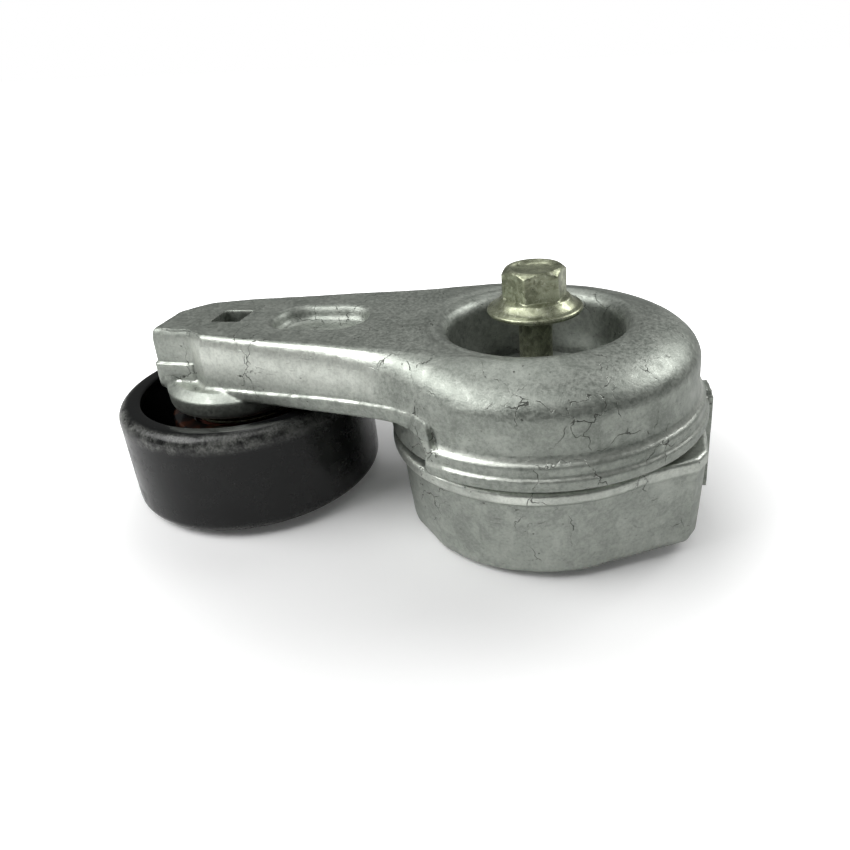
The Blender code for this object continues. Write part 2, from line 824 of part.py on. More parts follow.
def make_pulley():
    at = (*PULLEY_AT, 0.0)
    lathe("pulley_shell", pulley_profile(), "black", at, 64)
    r, b = BEARING_OUT_R, BEARING_IN_R
    low, high = BEARING_LOW, BEARING_HIGH
    middle = (low + high) / 2
    groove = BALL_R + 0.12

    def race(radius_to, sign):
        points = []
        for k in range(7):
            z = middle + groove * 0.72 * (1 - 2 * k / 6)
            depth = math.sqrt(groove**2 - (z - middle) ** 2)
            points.append((BALL_PITCH_R + sign * depth, z))
        return points

    outer_groove = race(r, 1)
    lathe(
        "bearing_outer_race",
        [(r - 0.5, low), (r, low + 0.5), (r, high - 0.5), (r - 0.5, high), (17.2, high)]
        + outer_groove
        + [(17.2, low)],
        "polished",
        at,
        40,
    )
    inner_groove = list(reversed(race(b, -1)))
    lathe(
        "bearing_inner_race",
        [(b, low + 0.4), (b + 0.4, low), (11.4, low)]
        + inner_groove
        + [(11.4, high), (b + 0.4, high), (b, high - 0.4)],
        "polished",
        at,
        36,
    )
    for i in range(BALLS):
        a = 2 * math.pi * (i + 0.5) / BALLS
        x = PULLEY_AT[0] + BALL_PITCH_R * math.cos(a)
        y = BALL_PITCH_R * math.sin(a)
        ball(f"ball_{i + 1}", (x, y, middle))
    cage(middle)
    for name, z in (("seal_lower", low + 0.3), ("seal_upper", high - 1.3)):
        lathe(
            name,
            [(11.8, z), (16.9, z), (16.9, z + 1.0), (11.8, z + 1.0)],
            "seal",
            at,
            32,
        )
    lathe(
        "dust_shield_lower",
        [(8.4, 12.3), (17.6, 12.3), (17.6, 12.9), (11.0, 13.6), (8.4, 13.6)],
        "zinc",
        at,
        32,
    )
    lathe(
        "dust_shield_upper",
        [(12.6, 28.0), (16.9, 28.0), (17.4, 28.5), (17.4, 29.1), (12.6, 29.1)],
        "zinc",
        at,
        32,
    )
    pulley_bolt(at)


def ball(name, at):
    mesh = bpy.data.meshes.new(name)
    bm = bmesh.new()
    bmesh.ops.create_icosphere(bm, subdivisions=2, radius=BALL_R * MM)
    bm.to_mesh(mesh)
    bm.free()
    return add(name, mesh, "polished", at)


def cage(middle):
    at = (*PULLEY_AT, 0.0)
    ring = lathe(
        "ball_cage",
        [(13.4, middle - 4.5), (15.1, middle - 4.5), (15.1, middle + 2.0), (13.4, middle + 2.0)],
        "nylon",
        at,
        40,
    )
    for i in range(BALLS):
        a = 2 * math.pi * (i + 0.5) / BALLS
        mesh = bpy.data.meshes.new(f"ball_cut_{i}")
        bm = bmesh.new()
        matrix = Matrix.Rotation(a, 4, "Z") @ Matrix.Rotation(math.pi / 2, 4, "Y")
        bmesh.ops.create_cone(
            bm,
            cap_ends=True,
            segments=16,
            radius1=(BALL_R + 0.25) * MM,
            radius2=(BALL_R + 0.25) * MM,
            depth=9 * MM,
            matrix=matrix,
        )
        bm.to_mesh(mesh)
        bm.free()
        x = PULLEY_AT[0] + BALL_PITCH_R * math.cos(a)
        y = BALL_PITCH_R * math.sin(a)
        cut(ring, add(f"ball_cut_{i}", mesh, None, (x, y, middle)))
    return ring


def pulley_bolt(at):
    turn = math.radians(8.0)
    return layered(
        "pulley_bolt",
        [
            (hex_ring(13.0, turn, 6.6), 4.6),
            (hex_ring(13.0, turn), 5.4),
            (hex_ring(13.0, turn), 10.4),
            (ring24(10.6, turn), 10.8),
            (ring24(10.8, turn), 12.0),
            (ring24(8.2, turn), 12.0),
            (ring24(8.2, turn), 26.0),
            (ring24(4.6, turn), 26.0),
            (ring24(4.6, turn), 39.5),
            (ring24(4.0, turn), 40.2),
        ],
        "zinc",
        at,
    )


clear_scene()
make_base()
make_arm()
make_pivot()
make_spring()
make_bolt()
make_pulley()
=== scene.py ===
"""Looks for a belt tensioner idler around its CAD frame: castings, black pulley and plated bolt.

Shapes are worked out in millimetres, with the pivot axis as Z and the base standing on z = 0,
and become metres as each mesh is made.
"""

import functools
import itertools
import json
import math

import bmesh
import bpy
import numpy as np
from mathutils import Matrix, Vector


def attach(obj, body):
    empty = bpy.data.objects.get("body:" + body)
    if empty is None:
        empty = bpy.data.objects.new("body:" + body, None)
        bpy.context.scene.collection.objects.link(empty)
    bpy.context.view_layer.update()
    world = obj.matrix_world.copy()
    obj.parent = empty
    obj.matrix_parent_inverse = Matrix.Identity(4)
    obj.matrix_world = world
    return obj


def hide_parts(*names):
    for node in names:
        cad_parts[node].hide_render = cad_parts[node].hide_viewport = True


MM = 0.001

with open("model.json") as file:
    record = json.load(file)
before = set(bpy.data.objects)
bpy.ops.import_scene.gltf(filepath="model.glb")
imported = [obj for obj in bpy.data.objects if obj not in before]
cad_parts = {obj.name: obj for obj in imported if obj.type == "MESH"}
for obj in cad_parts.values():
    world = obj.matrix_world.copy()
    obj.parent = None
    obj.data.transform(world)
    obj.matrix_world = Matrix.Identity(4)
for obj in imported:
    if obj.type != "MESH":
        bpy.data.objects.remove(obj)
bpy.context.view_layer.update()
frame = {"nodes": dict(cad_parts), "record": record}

# ---- sizes, in millimetres

PULLEY_AT = (-90.5, 0.0)

BASE_R_LOW, BASE_R_HIGH = 38.0, 39.4
BASE_RIM_R, BASE_RIM_LOW, BASE_TOP = 41.5, 22.8, 26.3
CUP_R, CUP_R_RIM, CUP_RIM_FROM = 34.4, 38.3, 23.4
FLOOR_T = 4.0
HUB_R, HUB_TOP = 14.0, 10.0
LUG_ANGLE, LUG_DEPTH, LUG_X = -60.0, 37.95, 40.6
DOWEL_AT, DOWEL_R, DOWEL_DEPTH = (38.0, -11.0), 4.0, 7.0
FACET_ANGLE, FACET_R, FACET_SLOPE = 222.0, 36.9, 0.24
STOP_ANGLES = (45.0, 57.0)

TUBE_R, TUBE_BORE_R, TUBE_TOP, TUBE_HEAD_R = 9.0, 5.7, 39.4, 11.5

FLANGE_R, FLANGE_LOW, FLANGE_MID, FLANGE_TOP = 45.4, 29.1, 32.3, 35.6
DRUM_R, DRUM_WALL, DRUM_WALL_TOP = 42.6, 4.4, 45.5
ARM_TOP = 55.5
DOME_CENTRE_R, DOME_ARC = 20.5, 71.8
CREST_TOP = 55.0
CREST_R, WELL_R, WELL_FLOOR_R, WELL_FLOOR = 27.4, 23.6, 22.6, 33.0
ARM_HUB_R, ARM_HUB_BORE_R, ARM_HUB_LOW = 15.4, 11.7, 10.8
PLATE_LOW, LIP_TOP = 36.6, 40.0
BOSS_R, BOSS_LOW, STEM_R, STEM_LOW = 23.0, 31.6, 12.0, 26.3
DRIVE_SIDE = 9.6
TAB_ANGLES, TAB_LOW, TAB_R = (1.0, 11.0), 4.4, 46.7
TRIM_R = 41.4

BOLT_LOW, BOLT_HEAD_LOW, BOLT_R, BOLT_SHANK_R = 0.6, 57.2, 5.0, 4.5
BOLT_THREAD_TOP, BOLT_FLANGE_R = 33.0, 12.7
THREAD_PITCH, THREAD_DEPTH = 1.5, 0.82
HEX_FLATS, HEX_TOP, HEX_TURN = 15.2, 69.3, -9.7
HEX_EASE, HEX_CHAMFER = 0.18, 0.62

SPRING_R, SPRING_WIRE_R, SPRING_LOW, SPRING_HIGH, SPRING_TURNS = 30.6, 2.5, 9.3, 45.8, 4.5

PULLEY_R, PULLEY_LOW, PULLEY_HIGH, RIM_INNER_R, SHELL_T = 38.0, 3.9, 34.7, 31.3, 2.8
BEARING_OUT_R, BEARING_IN_R, BEARING_LOW, BEARING_HIGH = 20.0, 8.5, 13.9, 25.9
BALL_R, BALL_PITCH_R, BALLS = 3.4, 14.25, 8

STEPS = 192  # round a turned piece
VOXEL = 0.42  # grain of a casting's surface before it is thinned
MOST_FACES = 190_000
NOISE_ENTRIES = 8192
NOISE_PRIMES = (73856093, 19349663, 83492791)  # scatter a cell's three whole numbers

# Camera: where it stands, in metres, and its right and down directions
CAMERA_AT = (0.023846, -0.182749, 0.122219)
CAMERA_RIGHT = (0.968082, 0.235645, -0.085377)
CAMERA_DOWN = (0.025462, -0.431346, -0.901827)
CAMERA_LENS, CAMERA_SHIFT = 30.609, (-0.01668, -0.04346)

LIGHTS_AIM = (-0.03, 0.0, 0.03)

# The object leans on its pulley, so the floor touches the base's edge and the pulley's far edge
FLOOR_TOUCHES = ((-38.0, 0.0), (-128.5, 3.9))


# ---- outlines


def circle(radius, steps=STEPS, centre=(0.0, 0.0)):
    angles = 2 * math.pi * np.arange(steps) / steps
    return np.stack([centre[0] + radius * np.cos(angles), centre[1] + radius * np.sin(angles)], 1)


def polar(radius, degrees):
    a = math.radians(degrees)
    return (radius * math.cos(a), radius * math.sin(a))


def rounded(points, radii, steps=6):
    """A closed polygon with its corners rounded; radii is one number or one for each corner."""
    out = []
    count = len(points)
    for i in range(count):
        p, q, s = Vector(points[i - 1]), Vector(points[i]), Vector(points[(i + 1) % count])
        radius = radii[i] if isinstance(radii, (list, tuple)) else radii
        u, v = p - q, s - q
        half = u.angle(v) / 2
        if radius <= 0 or half > 1.56:
            out.append(tuple(q))
            continue
        back = min(radius / math.tan(half), 0.45 * u.length, 0.45 * v.length)
        radius = back * math.tan(half)
        u, v = u.normalized(), v.normalized()
        middle = q + (u + v).normalized() * (radius / math.sin(half))
        a, b = q + u * back - middle, q + v * back - middle
        turn = math.atan2(a.x * b.y - a.y * b.x, a.dot(b))
        for k in range(steps + 1):
            c, d = math.cos(turn * k / steps), math.sin(turn * k / steps)
            out.append((middle.x + a.x * c - a.y * d, middle.y + a.x * d + a.y * c))
    return out


def inset(points, distance):
    """A counter-clockwise outline moved inwards along its own normals."""
    points = np.asarray(points, float)
    along = np.roll(points, -1, 0) - np.roll(points, 1, 0)
    along /= np.linalg.norm(along, axis=1, keepdims=True)
    return points + distance * np.stack([-along[:, 1], along[:, 0]], 1)


def arc(centre, radius, start, end, steps=8):
    """(radius, z) points on an arc, its angles in degrees from the outward direction."""
    angles = np.radians(np.linspace(start, end, steps + 1))
    return [(centre[0] + radius * math.cos(a), centre[1] + radius * math.sin(a)) for a in angles]


# ---- meshes


def placed(name, data):
    """A new object in the scene with this data."""
    obj = bpy.data.objects.new(name, data)
    bpy.context.scene.collection.objects.link(obj)
    return obj


def made(name, verts, faces):
    """An object from points in millimetres, its faces turned outwards."""
    mesh = bpy.data.meshes.new(name)
    mesh.from_pydata((np.asarray(verts, float) * MM).tolist(), [], faces)
    bm = bmesh.new()
    bm.from_mesh(mesh)
    bmesh.ops.recalc_face_normals(bm, faces=bm.faces)
    bm.to_mesh(mesh)
    bm.free()
    return placed(name, mesh)


def band(low, high, count):
    """The quads between two rings of vertices that start at these numbers."""
    pairs = [(i, (i + 1) % count) for i in range(count)]
    return [(low + i, low + k, high + k, high + i) for i, k in pairs]


def lofted(name, sections):
    """A solid through sections of the same number of points in space."""
    count = len(sections[0])
    faces = [tuple(reversed(range(count)))]
    for level in range(len(sections) - 1):
        faces += band(level * count, (level + 1) * count, count)
    top = (len(sections) - 1) * count
    faces.append(tuple(range(top, top + count)))
    return made(name, np.concatenate([np.asarray(s, float) for s in sections]), faces)


def layered(name, rings):
    """A solid through level outlines, [(points, z), ...] upwards, with as many points in each."""
    return lofted(name, [np.column_stack([p, np.full(len(p), float(z))]) for p, z in rings])


def turned(name, profile, centre=(0.0, 0.0), steps=STEPS):
    """A solid of revolution through (radius, z) rings, capped at both ends."""
    return layered(name, [(circle(r, steps, centre), z) for r, z in profile])


def lathe(name, profile, centre=(0.0, 0.0), steps=STEPS):
    """A closed (radius, z) outline turned about a vertical axis into a ring."""
    profile = np.asarray(profile, float)
    count = len(profile)
    angles = 2 * math.pi * np.arange(steps) / steps
    x = centre[0] + np.outer(np.cos(angles), profile[:, 0])
    y = centre[1] + np.outer(np.sin(angles), profile[:, 0])
    z = np.tile(profile[:, 1], (steps, 1))
    verts = np.stack([x, y, z], 2).reshape(-1, 3)
    faces = []
    for step in range(steps):
        faces += band(step * count, (step + 1) % steps * count, count)
    return made(name, verts, faces)


def block(name, low, high):
    ring = [(low[0], low[1]), (high[0], low[1]), (high[0], high[1]), (low[0], high[1])]
    return layered(name, [(ring, low[2]), (ring, high[2])])


def applied(obj):
    """The object with its modifiers made real."""
    view = bpy.context.evaluated_depsgraph_get()
    mesh = bpy.data.meshes.new_from_object(obj.evaluated_get(view))
    obj.modifiers.clear()
    obj.data = mesh
    return obj


def combined(target, tools, operation):
    """Booleans the tools into or out of the target, and removes them."""
    for tool in tools:
        modifier = target.modifiers.new("boolean", "BOOLEAN")
        modifier.operation = operation
        modifier.solver = "MANIFOLD"
        modifier.object = tool
        applied(target)
        bpy.data.objects.remove(tool)
    return target


def smooth_shaded(obj, angle=30.0):
    for polygon in obj.data.polygons:
        polygon.use_smooth = True
    if angle < 180:
        obj.data.set_sharp_from_angle(angle=math.radians(angle))
    return obj


# ---- a casting's skin, its scuffing, and its painted highlights and shade


def noise(points, size, seed):
    """Smooth value noise from 0 to 1 with lumps of this size in millimetres."""
    table = np.random.default_rng(seed).random(NOISE_ENTRIES)
    at = points / size
    cell = np.floor(at).astype(np.int64)
    part = at - cell
    part = part * part * (3 - 2 * part)
    total = np.zeros(len(points))
    for corner in itertools.product((0, 1), repeat=3):
        kx, ky, kz = ((cell + corner) * NOISE_PRIMES).T
        wx, wy, wz = np.where(corner, part, 1 - part).T
        total += table[(kx ^ ky ^ kz) % NOISE_ENTRIES] * (wx * wy * wz)
    return total


def ramp(value, low, high):
    """0 up to low and 1 from high, smoothly."""
    t = np.clip((value - low) / (high - low), 0, 1)
    return t * t * (3 - 2 * t)


def bump(value, middle, half_width):
    """1 at the middle, falling to 0 half a width away."""
    return ramp(half_width - np.abs(value - middle), 0, half_width)


def neighbour_mean(values, ends, degree):
    """The mean over each vertex's neighbours, column by column."""
    a, b = ends.T
    out = np.empty_like(values)
    for k, column in enumerate(values.T):
        out[:, k] = np.bincount(a, column[b], len(values)) + np.bincount(b, column[a], len(values))
    return out / degree[:, None]


def numbers(items, key, width, kind=float):
    """What a mesh's vertices, edges or normals hold, as an array of this many columns."""
    values = np.empty(len(items) * width, kind)
    items.foreach_get(key, values)
    return values.reshape(-1, width)


def skinned(obj, smoothing, waviness, marks):
    """Remeshes a solid into one even skin, rounds its edges, waves it a little and marks its
    scuffing, painted highlights, painted shade and dirt.

    marks(points, convex) returns two values from 0 to 1 for each point: scuffing with painted
    highlights, and painted shade with dirt.
    """
    modifier = obj.modifiers.new("skin", "REMESH")
    modifier.mode = "VOXEL"
    modifier.voxel_size = VOXEL * MM
    applied(obj)
    mesh = obj.data
    points = numbers(mesh.vertices, "co", 3) / MM
    ends = numbers(mesh.edges, "vertices", 2, np.int64)
    degree = np.maximum(np.bincount(ends.ravel(), minlength=len(points)), 1).astype(float)
    for _ in range(smoothing):
        for share in (0.6, -0.62):
            points += share * (neighbour_mean(points, ends, degree) - points)
    mesh.vertices.foreach_set("co", (points * MM).ravel())
    mesh.update()
    normals = numbers(mesh.vertex_normals, "vector", 3, np.float32).astype(float)
    bend = -((neighbour_mean(points, ends, degree) - points) * normals).sum(1, keepdims=True)
    for _ in range(4):
        bend = 0.5 * bend + 0.5 * neighbour_mean(bend, ends, degree)
    convex = bend[:, 0] / VOXEL**2
    lift = noise(points, 9.0, 3) - 0.5
    for share, size, seed in ((0.5, 3.5, 4), (0.22, 1.3, 5)):
        lift += share * (noise(points, size, seed) - 0.5)
    points += normals * (waviness * lift)[:, None]
    mesh.vertices.foreach_set("co", (points * MM).ravel())
    for name, value in zip(("wear", "grime"), marks(points, convex)):
        attribute = mesh.attributes.new(name, "FLOAT", "POINT")
        attribute.data.foreach_set("value", np.clip(value, 0, 1).astype(np.float32))
    thin = obj.modifiers.new("thin", "DECIMATE")
    thin.ratio = min(1.0, MOST_FACES / (2 * len(mesh.polygons)))
    applied(obj)
    return smooth_shaded(obj, 180)


# ---- base


def lug_outline(grow):
    """The lug at the right: its straight side runs off the cup's circle as a tangent."""
    normal = Vector(polar(1.0, LUG_ANGLE))
    along = Vector((-normal.y, normal.x))
    depth = LUG_DEPTH + grow
    corner = normal * depth + along * ((LUG_X + grow * 0.8 - normal.x * depth) / along.x)
    side = LUG_X + 2.2 + grow * 0.9
    points = [
        tuple(normal * depth - along * 2.0),
        tuple(corner),
        (side, corner.y + 4.6), (side + 0.2, -4.6), (34.0, 9.0), (4.0, 12.0),
    ]
    return rounded(points, [0, 1.8, 2.0, 1.6, 0, 0], 6)


def stop_outline(outer):
    """The stop lug at the back of the base, out to this radius."""
    a, b = STOP_ANGLES
    return rounded([polar(35, a), polar(outer, a), polar(outer, b), polar(35, b)], [0, 1.5, 1.5, 0])


def facet_cutter():
    """The slanted flat at the lower left of the cup."""
    flat = Vector((*polar(1.0, FACET_ANGLE), 0))
    outward = (flat + Vector((0, 0, -FACET_SLOPE))).normalized()
    side = Vector((-flat.y, flat.x, 0))
    up = outward.cross(side)
    corners = [(-40, -30), (40, -30), (40, 30), (-40, 30)]
    sections = [
        [tuple(flat * FACET_R + side * s + up * t + outward * depth) for s, t in corners]
        for depth in (0.0, 12.0)
    ]
    return lofted("facet", sections)


def base_marks(points, convex):
    """Scuffed bright edges, a painted highlight on the rim that is strongest at the front, painted
    shade in the hollows, and darker towards the foot.
    """
    radius = np.hypot(points[:, 0], points[:, 1])
    angle = np.degrees(np.arctan2(points[:, 1], points[:, 0]))
    z = points[:, 2]
    rough = noise(points, 2.2, 11)
    # Painted highlight: the rim's outer band is brightened, and more so in a spot at the front.
    rim = ramp(z, BASE_RIM_LOW - 0.4, BASE_RIM_LOW + 0.5)
    rim = rim * ramp(radius, BASE_RIM_R - 2.0, BASE_RIM_R - 0.6)
    front_rim_highlight = rim * bump(angle, -92, 12)
    wear = 0.85 * ramp(convex, 0.12, 0.5) * (0.5 + rough)
    wear = wear + rim * (0.25 + 0.35 * rough) + 0.8 * front_rim_highlight
    # Darker towards the foot, in a mottle.
    low = ramp(2.0 - z, 0, 2.0) * 0.4
    # Painted shade in the hollows.
    grime = ramp(-convex, 0.10, 0.45) + low * noise(points, 5, 12)
    return wear, grime


def make_base():
    cup = turned(
        "base_cast",
        [
            (BASE_R_LOW - 1.2, 0.0), (BASE_R_LOW - 0.4, 0.35), (BASE_R_LOW, 1.2),
            (BASE_R_HIGH, BASE_RIM_LOW - 1.0), (BASE_RIM_R - 0.5, BASE_RIM_LOW),
            (BASE_RIM_R, BASE_RIM_LOW + 0.8), (BASE_RIM_R, BASE_TOP - 0.8),
            (BASE_RIM_R - 0.8, BASE_TOP),
        ],
    )
    lug = layered(
        "lug",
        [
            (lug_outline(-1.2), 0.0), (lug_outline(-0.4), 0.5), (lug_outline(0.0), 1.6),
            (lug_outline(1.3), BASE_RIM_LOW - 0.6), (lug_outline(1.7), BASE_RIM_LOW),
            (lug_outline(1.8), BASE_TOP - 0.8), (lug_outline(1.2), BASE_TOP - 0.02),
        ],
    )
    stop = layered("stop", [(stop_outline(45.4), 0.0), (stop_outline(47.0), BASE_TOP - 0.02)])
    combined(cup, [lug, stop], "UNION")
    cavity = turned(
        "cavity",
        [
            (CUP_R - 2.0, FLOOR_T), (CUP_R - 0.6, FLOOR_T + 0.6), (CUP_R, FLOOR_T + 2.0),
            (CUP_R, CUP_RIM_FROM - 2.4), (CUP_R_RIM, CUP_RIM_FROM), (CUP_R_RIM, BASE_TOP + 5),
        ],
    )
    combined(cup, [cavity], "DIFFERENCE")
    hub = turned(
        "hub",
        [
            (HUB_R + 1.6, 1.0), (HUB_R + 1.6, FLOOR_T), (HUB_R + 0.2, FLOOR_T + 1.4),
            (HUB_R, HUB_TOP),
        ],
    )
    combined(cup, [hub], "UNION")
    dowel = turned("dowel", [(DOWEL_R, -1), (DOWEL_R, DOWEL_DEPTH)], DOWEL_AT, 64)
    bore = turned("bore", [(TUBE_R + 0.3, -1), (TUBE_R + 0.3, HUB_TOP + 2)])
    combined(cup, [bore, dowel, facet_cutter()], "DIFFERENCE")
    return skinned(cup, 3, 0.16, base_marks)


# ---- arm


ARM_SIDE = [
    # x, y, the rounded edge's reach and foot, how far the lip stands out, its top and its foot
    (-92.0, 17.2, 1.9, 47.5, 0.9, 40.2, 36.9),
    (-76.4, 20.3, 2.4, 46.2, 0.9, 40.8, 37.1),
    (-51.8, 24.7, 3.3, 45.5, 0.9, 41.7, 37.3),
    (-35.8, 29.0, 5.2, 45.5, 0.9, 42.3, 38.0),
    (-28.9, 32.3, 7.2, 45.5, 0.7, 42.6, 38.4),
    (-24.1, 34.9, 9.2, 45.5, 0.2, 42.7, 38.6),
    (-19.9, 37.4, 11.2, 45.5, -0.6, 42.7, 38.6),
    (-15.9, 39.3, 13.6, 45.5, -0.8, 42.7, 38.6),
    (-11.7, 40.7, 16.6, 45.5, -0.8, 42.7, 38.6),
    (-7.4, 41.7, 19.2, 45.5, -0.8, 42.7, 38.6),
    (-3.0, 42.25, 21.0, 45.5, -0.8, 42.7, 38.6),
    (0.0, 42.35, 21.6, 45.5, -0.8, 42.7, 38.6),
]
ARM_END = [
    (-92.5, -17.2), (-98.5, -12.3), (-111.8, -11.4), (-112.0, 4.5), (-108.5, 9.5),
    (-104.5, 13.6),
]


def curve(rows, steps=8):
    """A smooth open curve through rows of numbers."""
    p = np.asarray(rows, float)
    p = np.vstack([2 * p[0] - p[1], p, 2 * p[-1] - p[-2]])
    t = np.linspace(0, 1, steps, endpoint=False)[:, None]
    out = [
        b + 0.5 * t * (c - a + t * (2 * a - 5 * b + 4 * c - d + t * (3 * (b - c) + d - a)))
        for a, b, c, d in zip(p, p[1:], p[2:], p[3:])
    ]
    return np.vstack([*out, p[-2:-1]])


def arm_loop():
    """Rows like ARM_SIDE's along the arm's far side, round its end and back along its near side."""
    side = curve(ARM_SIDE)
    near = side * [1, -1, 1, 1, 1, 1, 1]
    corners = [side[1, :2], side[0, :2], *reversed(ARM_END), near[0, :2], near[1, :2]]
    turned_end = np.array(rounded(corners, [0, 6, 5, 4, 5, 1.6, 1.8, 2.2, 1.0, 0], 8))[1:-1]
    rest = np.tile([1.8, 51.0, 0.9, 40.2, 36.9], (len(turned_end), 1))
    lead = ramp(np.abs(turned_end[:, 0]), 92.0, 100.0)[:, None]
    rest = side[0, 2:] * (1 - lead) + rest * lead
    return np.vstack([side[:0:-1], np.hstack([turned_end, rest]), near[1:]])


def arm_rings():
    """Loops in space up the arm's side: its lip, its wall and its rounded upper edge."""
    x, y, reach, foot, out, lip, low = arm_loop().T
    points = np.stack([x, y], 1)
    along = np.gradient(points, axis=0)
    along[0], along[-1] = (-1, 0), (1, 0)
    along /= np.linalg.norm(along, axis=1, keepdims=True)
    inward = np.stack([-along[:, 1], along[:, 0]], 1)
    levels = [
        (low, -0.5 * out), (low + 0.6, -out), (lip - 0.9, -1.1 * out), (lip - 0.35, -out),
        (lip, -0.3 * out), (lip + 1.0, -0.2 * out),
    ]
    for a in np.radians(np.linspace(0, 90, 13)):
        levels.append((foot + (ARM_TOP - foot) * math.sin(a), reach * (1 - math.cos(a))))
    return [np.column_stack([points + inward * shift[:, None], z]) for z, shift in levels]


def drum_profile():
    """The drum's (radius, z) outline: flange, wall, dome, lip, well and the hub under it."""
    outside = [
        (FLANGE_R - 1.0, FLANGE_LOW), (FLANGE_R - 0.3, FLANGE_LOW + 0.2),
        (FLANGE_R, FLANGE_LOW + 0.8), (FLANGE_R, FLANGE_MID - 0.2),
        (FLANGE_R - 0.9, FLANGE_MID + 0.4), (FLANGE_R - 0.9, FLANGE_TOP - 0.9),
        *arc((FLANGE_R - 1.9, FLANGE_TOP - 0.9), 1.0, 20, 80, 4),
        (DRUM_R + 0.8, FLANGE_TOP + 0.7), (DRUM_R + 0.2, FLANGE_TOP + 1.7),
        (DRUM_R, FLANGE_TOP + 3.2),
    ]
    reach, rise = DRUM_R - DOME_CENTRE_R, ARM_TOP - DRUM_WALL_TOP
    dome = [
        (DOME_CENTRE_R + reach * math.cos(a), DRUM_WALL_TOP + rise * math.sin(a))
        for a in np.radians(np.linspace(0, DOME_ARC, 25))
    ]
    lip = [
        (CREST_R - (CREST_R - WELL_R) * math.sin(a), CREST_TOP - 4.2 + 4.2 * math.cos(a))
        for a in np.radians(np.linspace(9, 90, 10))
    ]
    well = [
        (WELL_FLOOR_R + 0.5, WELL_FLOOR + 2.4), (WELL_FLOOR_R - 0.4, WELL_FLOOR + 0.7),
        (WELL_FLOOR_R - 2.0, WELL_FLOOR),
    ]
    under = [
        (ARM_HUB_BORE_R, WELL_FLOOR), (ARM_HUB_BORE_R, ARM_HUB_LOW), (ARM_HUB_R, ARM_HUB_LOW),
        (ARM_HUB_R, WELL_FLOOR - 4.0), (WELL_FLOOR_R + 2.0, WELL_FLOOR - 3.0),
        (WELL_FLOOR_R + 3.0, WELL_FLOOR - 2.0), (WELL_R + 3.0, ARM_TOP - 7.5),
        (30.0, ARM_TOP - 5.2), (35.0, DRUM_WALL_TOP + 1.6),
        (DRUM_R - DRUM_WALL, DRUM_WALL_TOP - 3.0), (DRUM_R - DRUM_WALL, FLANGE_LOW),
    ]
    return outside + dome + lip + well + under


def shoulder(side):
    """The thick block beside the arm, whose upper edge sweeps down into the flange."""
    edge = [
        (146.0, 42.6, 41.4), (139.0, 42.9, 42.0), (132.0, 43.1, 42.6), (126.5, 43.2, 42.9),
        (123.4, 43.2, 42.8), (121.2, 43.3, 42.0), (119.4, 43.5, 40.5), (118.2, 44.0, 37.6),
        (116.4, 44.7, 35.4), (114.0, 45.1, 33.6), (109.5, 45.2, 32.8),
    ]
    sections = []
    for angle, out, top in edge:
        foot = max(45.2, out)
        outline = [
            (40.6, 29.12), (foot, 29.12), (foot, 31.6), (out, top - 1.0),
            (out - 0.6, top - 0.15), (out - 1.4, top), (40.6, top),
        ]
        x, y = polar(1.0, angle)
        sections.append([(r * x, r * y * side, z) for r, z in outline])
    return lofted("shoulder", sections)


def crease(side):
    """The narrow slot between the shoulder's edge and the drum's wall."""
    cuts = [(120.4, 40.2, 41.2), (119.2, 37.8, 40.8), (118.2, 35.8, 39.0), (117.0, 35.6, 36.4)]
    sections = []
    for angle, low, high in cuts:
        x, y = polar(1.0, angle)
        outline = [(41.9, low), (45.0, low), (45.0, high), (41.9, high)]
        sections.append([(r * x, r * y * side, z) for r, z in outline])
    return lofted("crease", sections)


def pocket():
    """The oblong sunken pocket in the arm's top."""
    outer = rounded([(-76, -10.2), (-47.6, -10.2), (-47.6, 8.9), (-76, 8.9)], 9.2, 12)
    return layered(
        "pocket",
        [
            (inset(outer, 3.0), ARM_TOP - 4.4), (inset(outer, 1.7), ARM_TOP - 4.0),
            (inset(outer, 0.9), ARM_TOP - 3.0), (inset(outer, 0.4), ARM_TOP - 1.4),
            (inset(outer, -0.2), ARM_TOP - 0.4), (inset(outer, -1.3), ARM_TOP + 0.2),
            (inset(outer, -1.3), ARM_TOP + 2.0),
        ],
    )


def flange_trim():
    """What is taken off the flange beside the arm, to clear the belt."""
    outline = [
        (-60, 27), (-23.9, 27), (-22.7, 31.5), (-22.7, 34.8), (-24.3, 37.3), (-27.5, 38.3),
        (-33.5, 37.2), (-37, 36.5), (-60, 36.5),
    ]
    trim = lofted("trim", [[(x, y, z) for x, z in outline] for y in (-50, 50)])
    keep = turned("keep", [(TRIM_R, FLANGE_LOW - 3), (TRIM_R, PLATE_LOW + 3)])
    return combined(trim, [keep], "DIFFERENCE")


def tab():
    """The stop tab that hangs from the flange outside the base, and the foot that ties it in."""
    low, high = TAB_ANGLES
    inner = FLANGE_R - 0.8
    outline = [polar(TAB_R, low), polar(TAB_R, high), polar(inner, high), polar(inner, low)]
    tall = layered("tab", [(outline, TAB_LOW), (outline, FLANGE_LOW + 3.5)])
    a, b = low + 0.7, high - 0.7
    root = [polar(TAB_R - 0.4, a), polar(TAB_R - 0.4, b), polar(41.0, b), polar(41.0, a)]
    foot = layered("tab_foot", [(root, FLANGE_LOW + 0.04), (root, FLANGE_TOP - 1.5)])
    return [tall, foot]


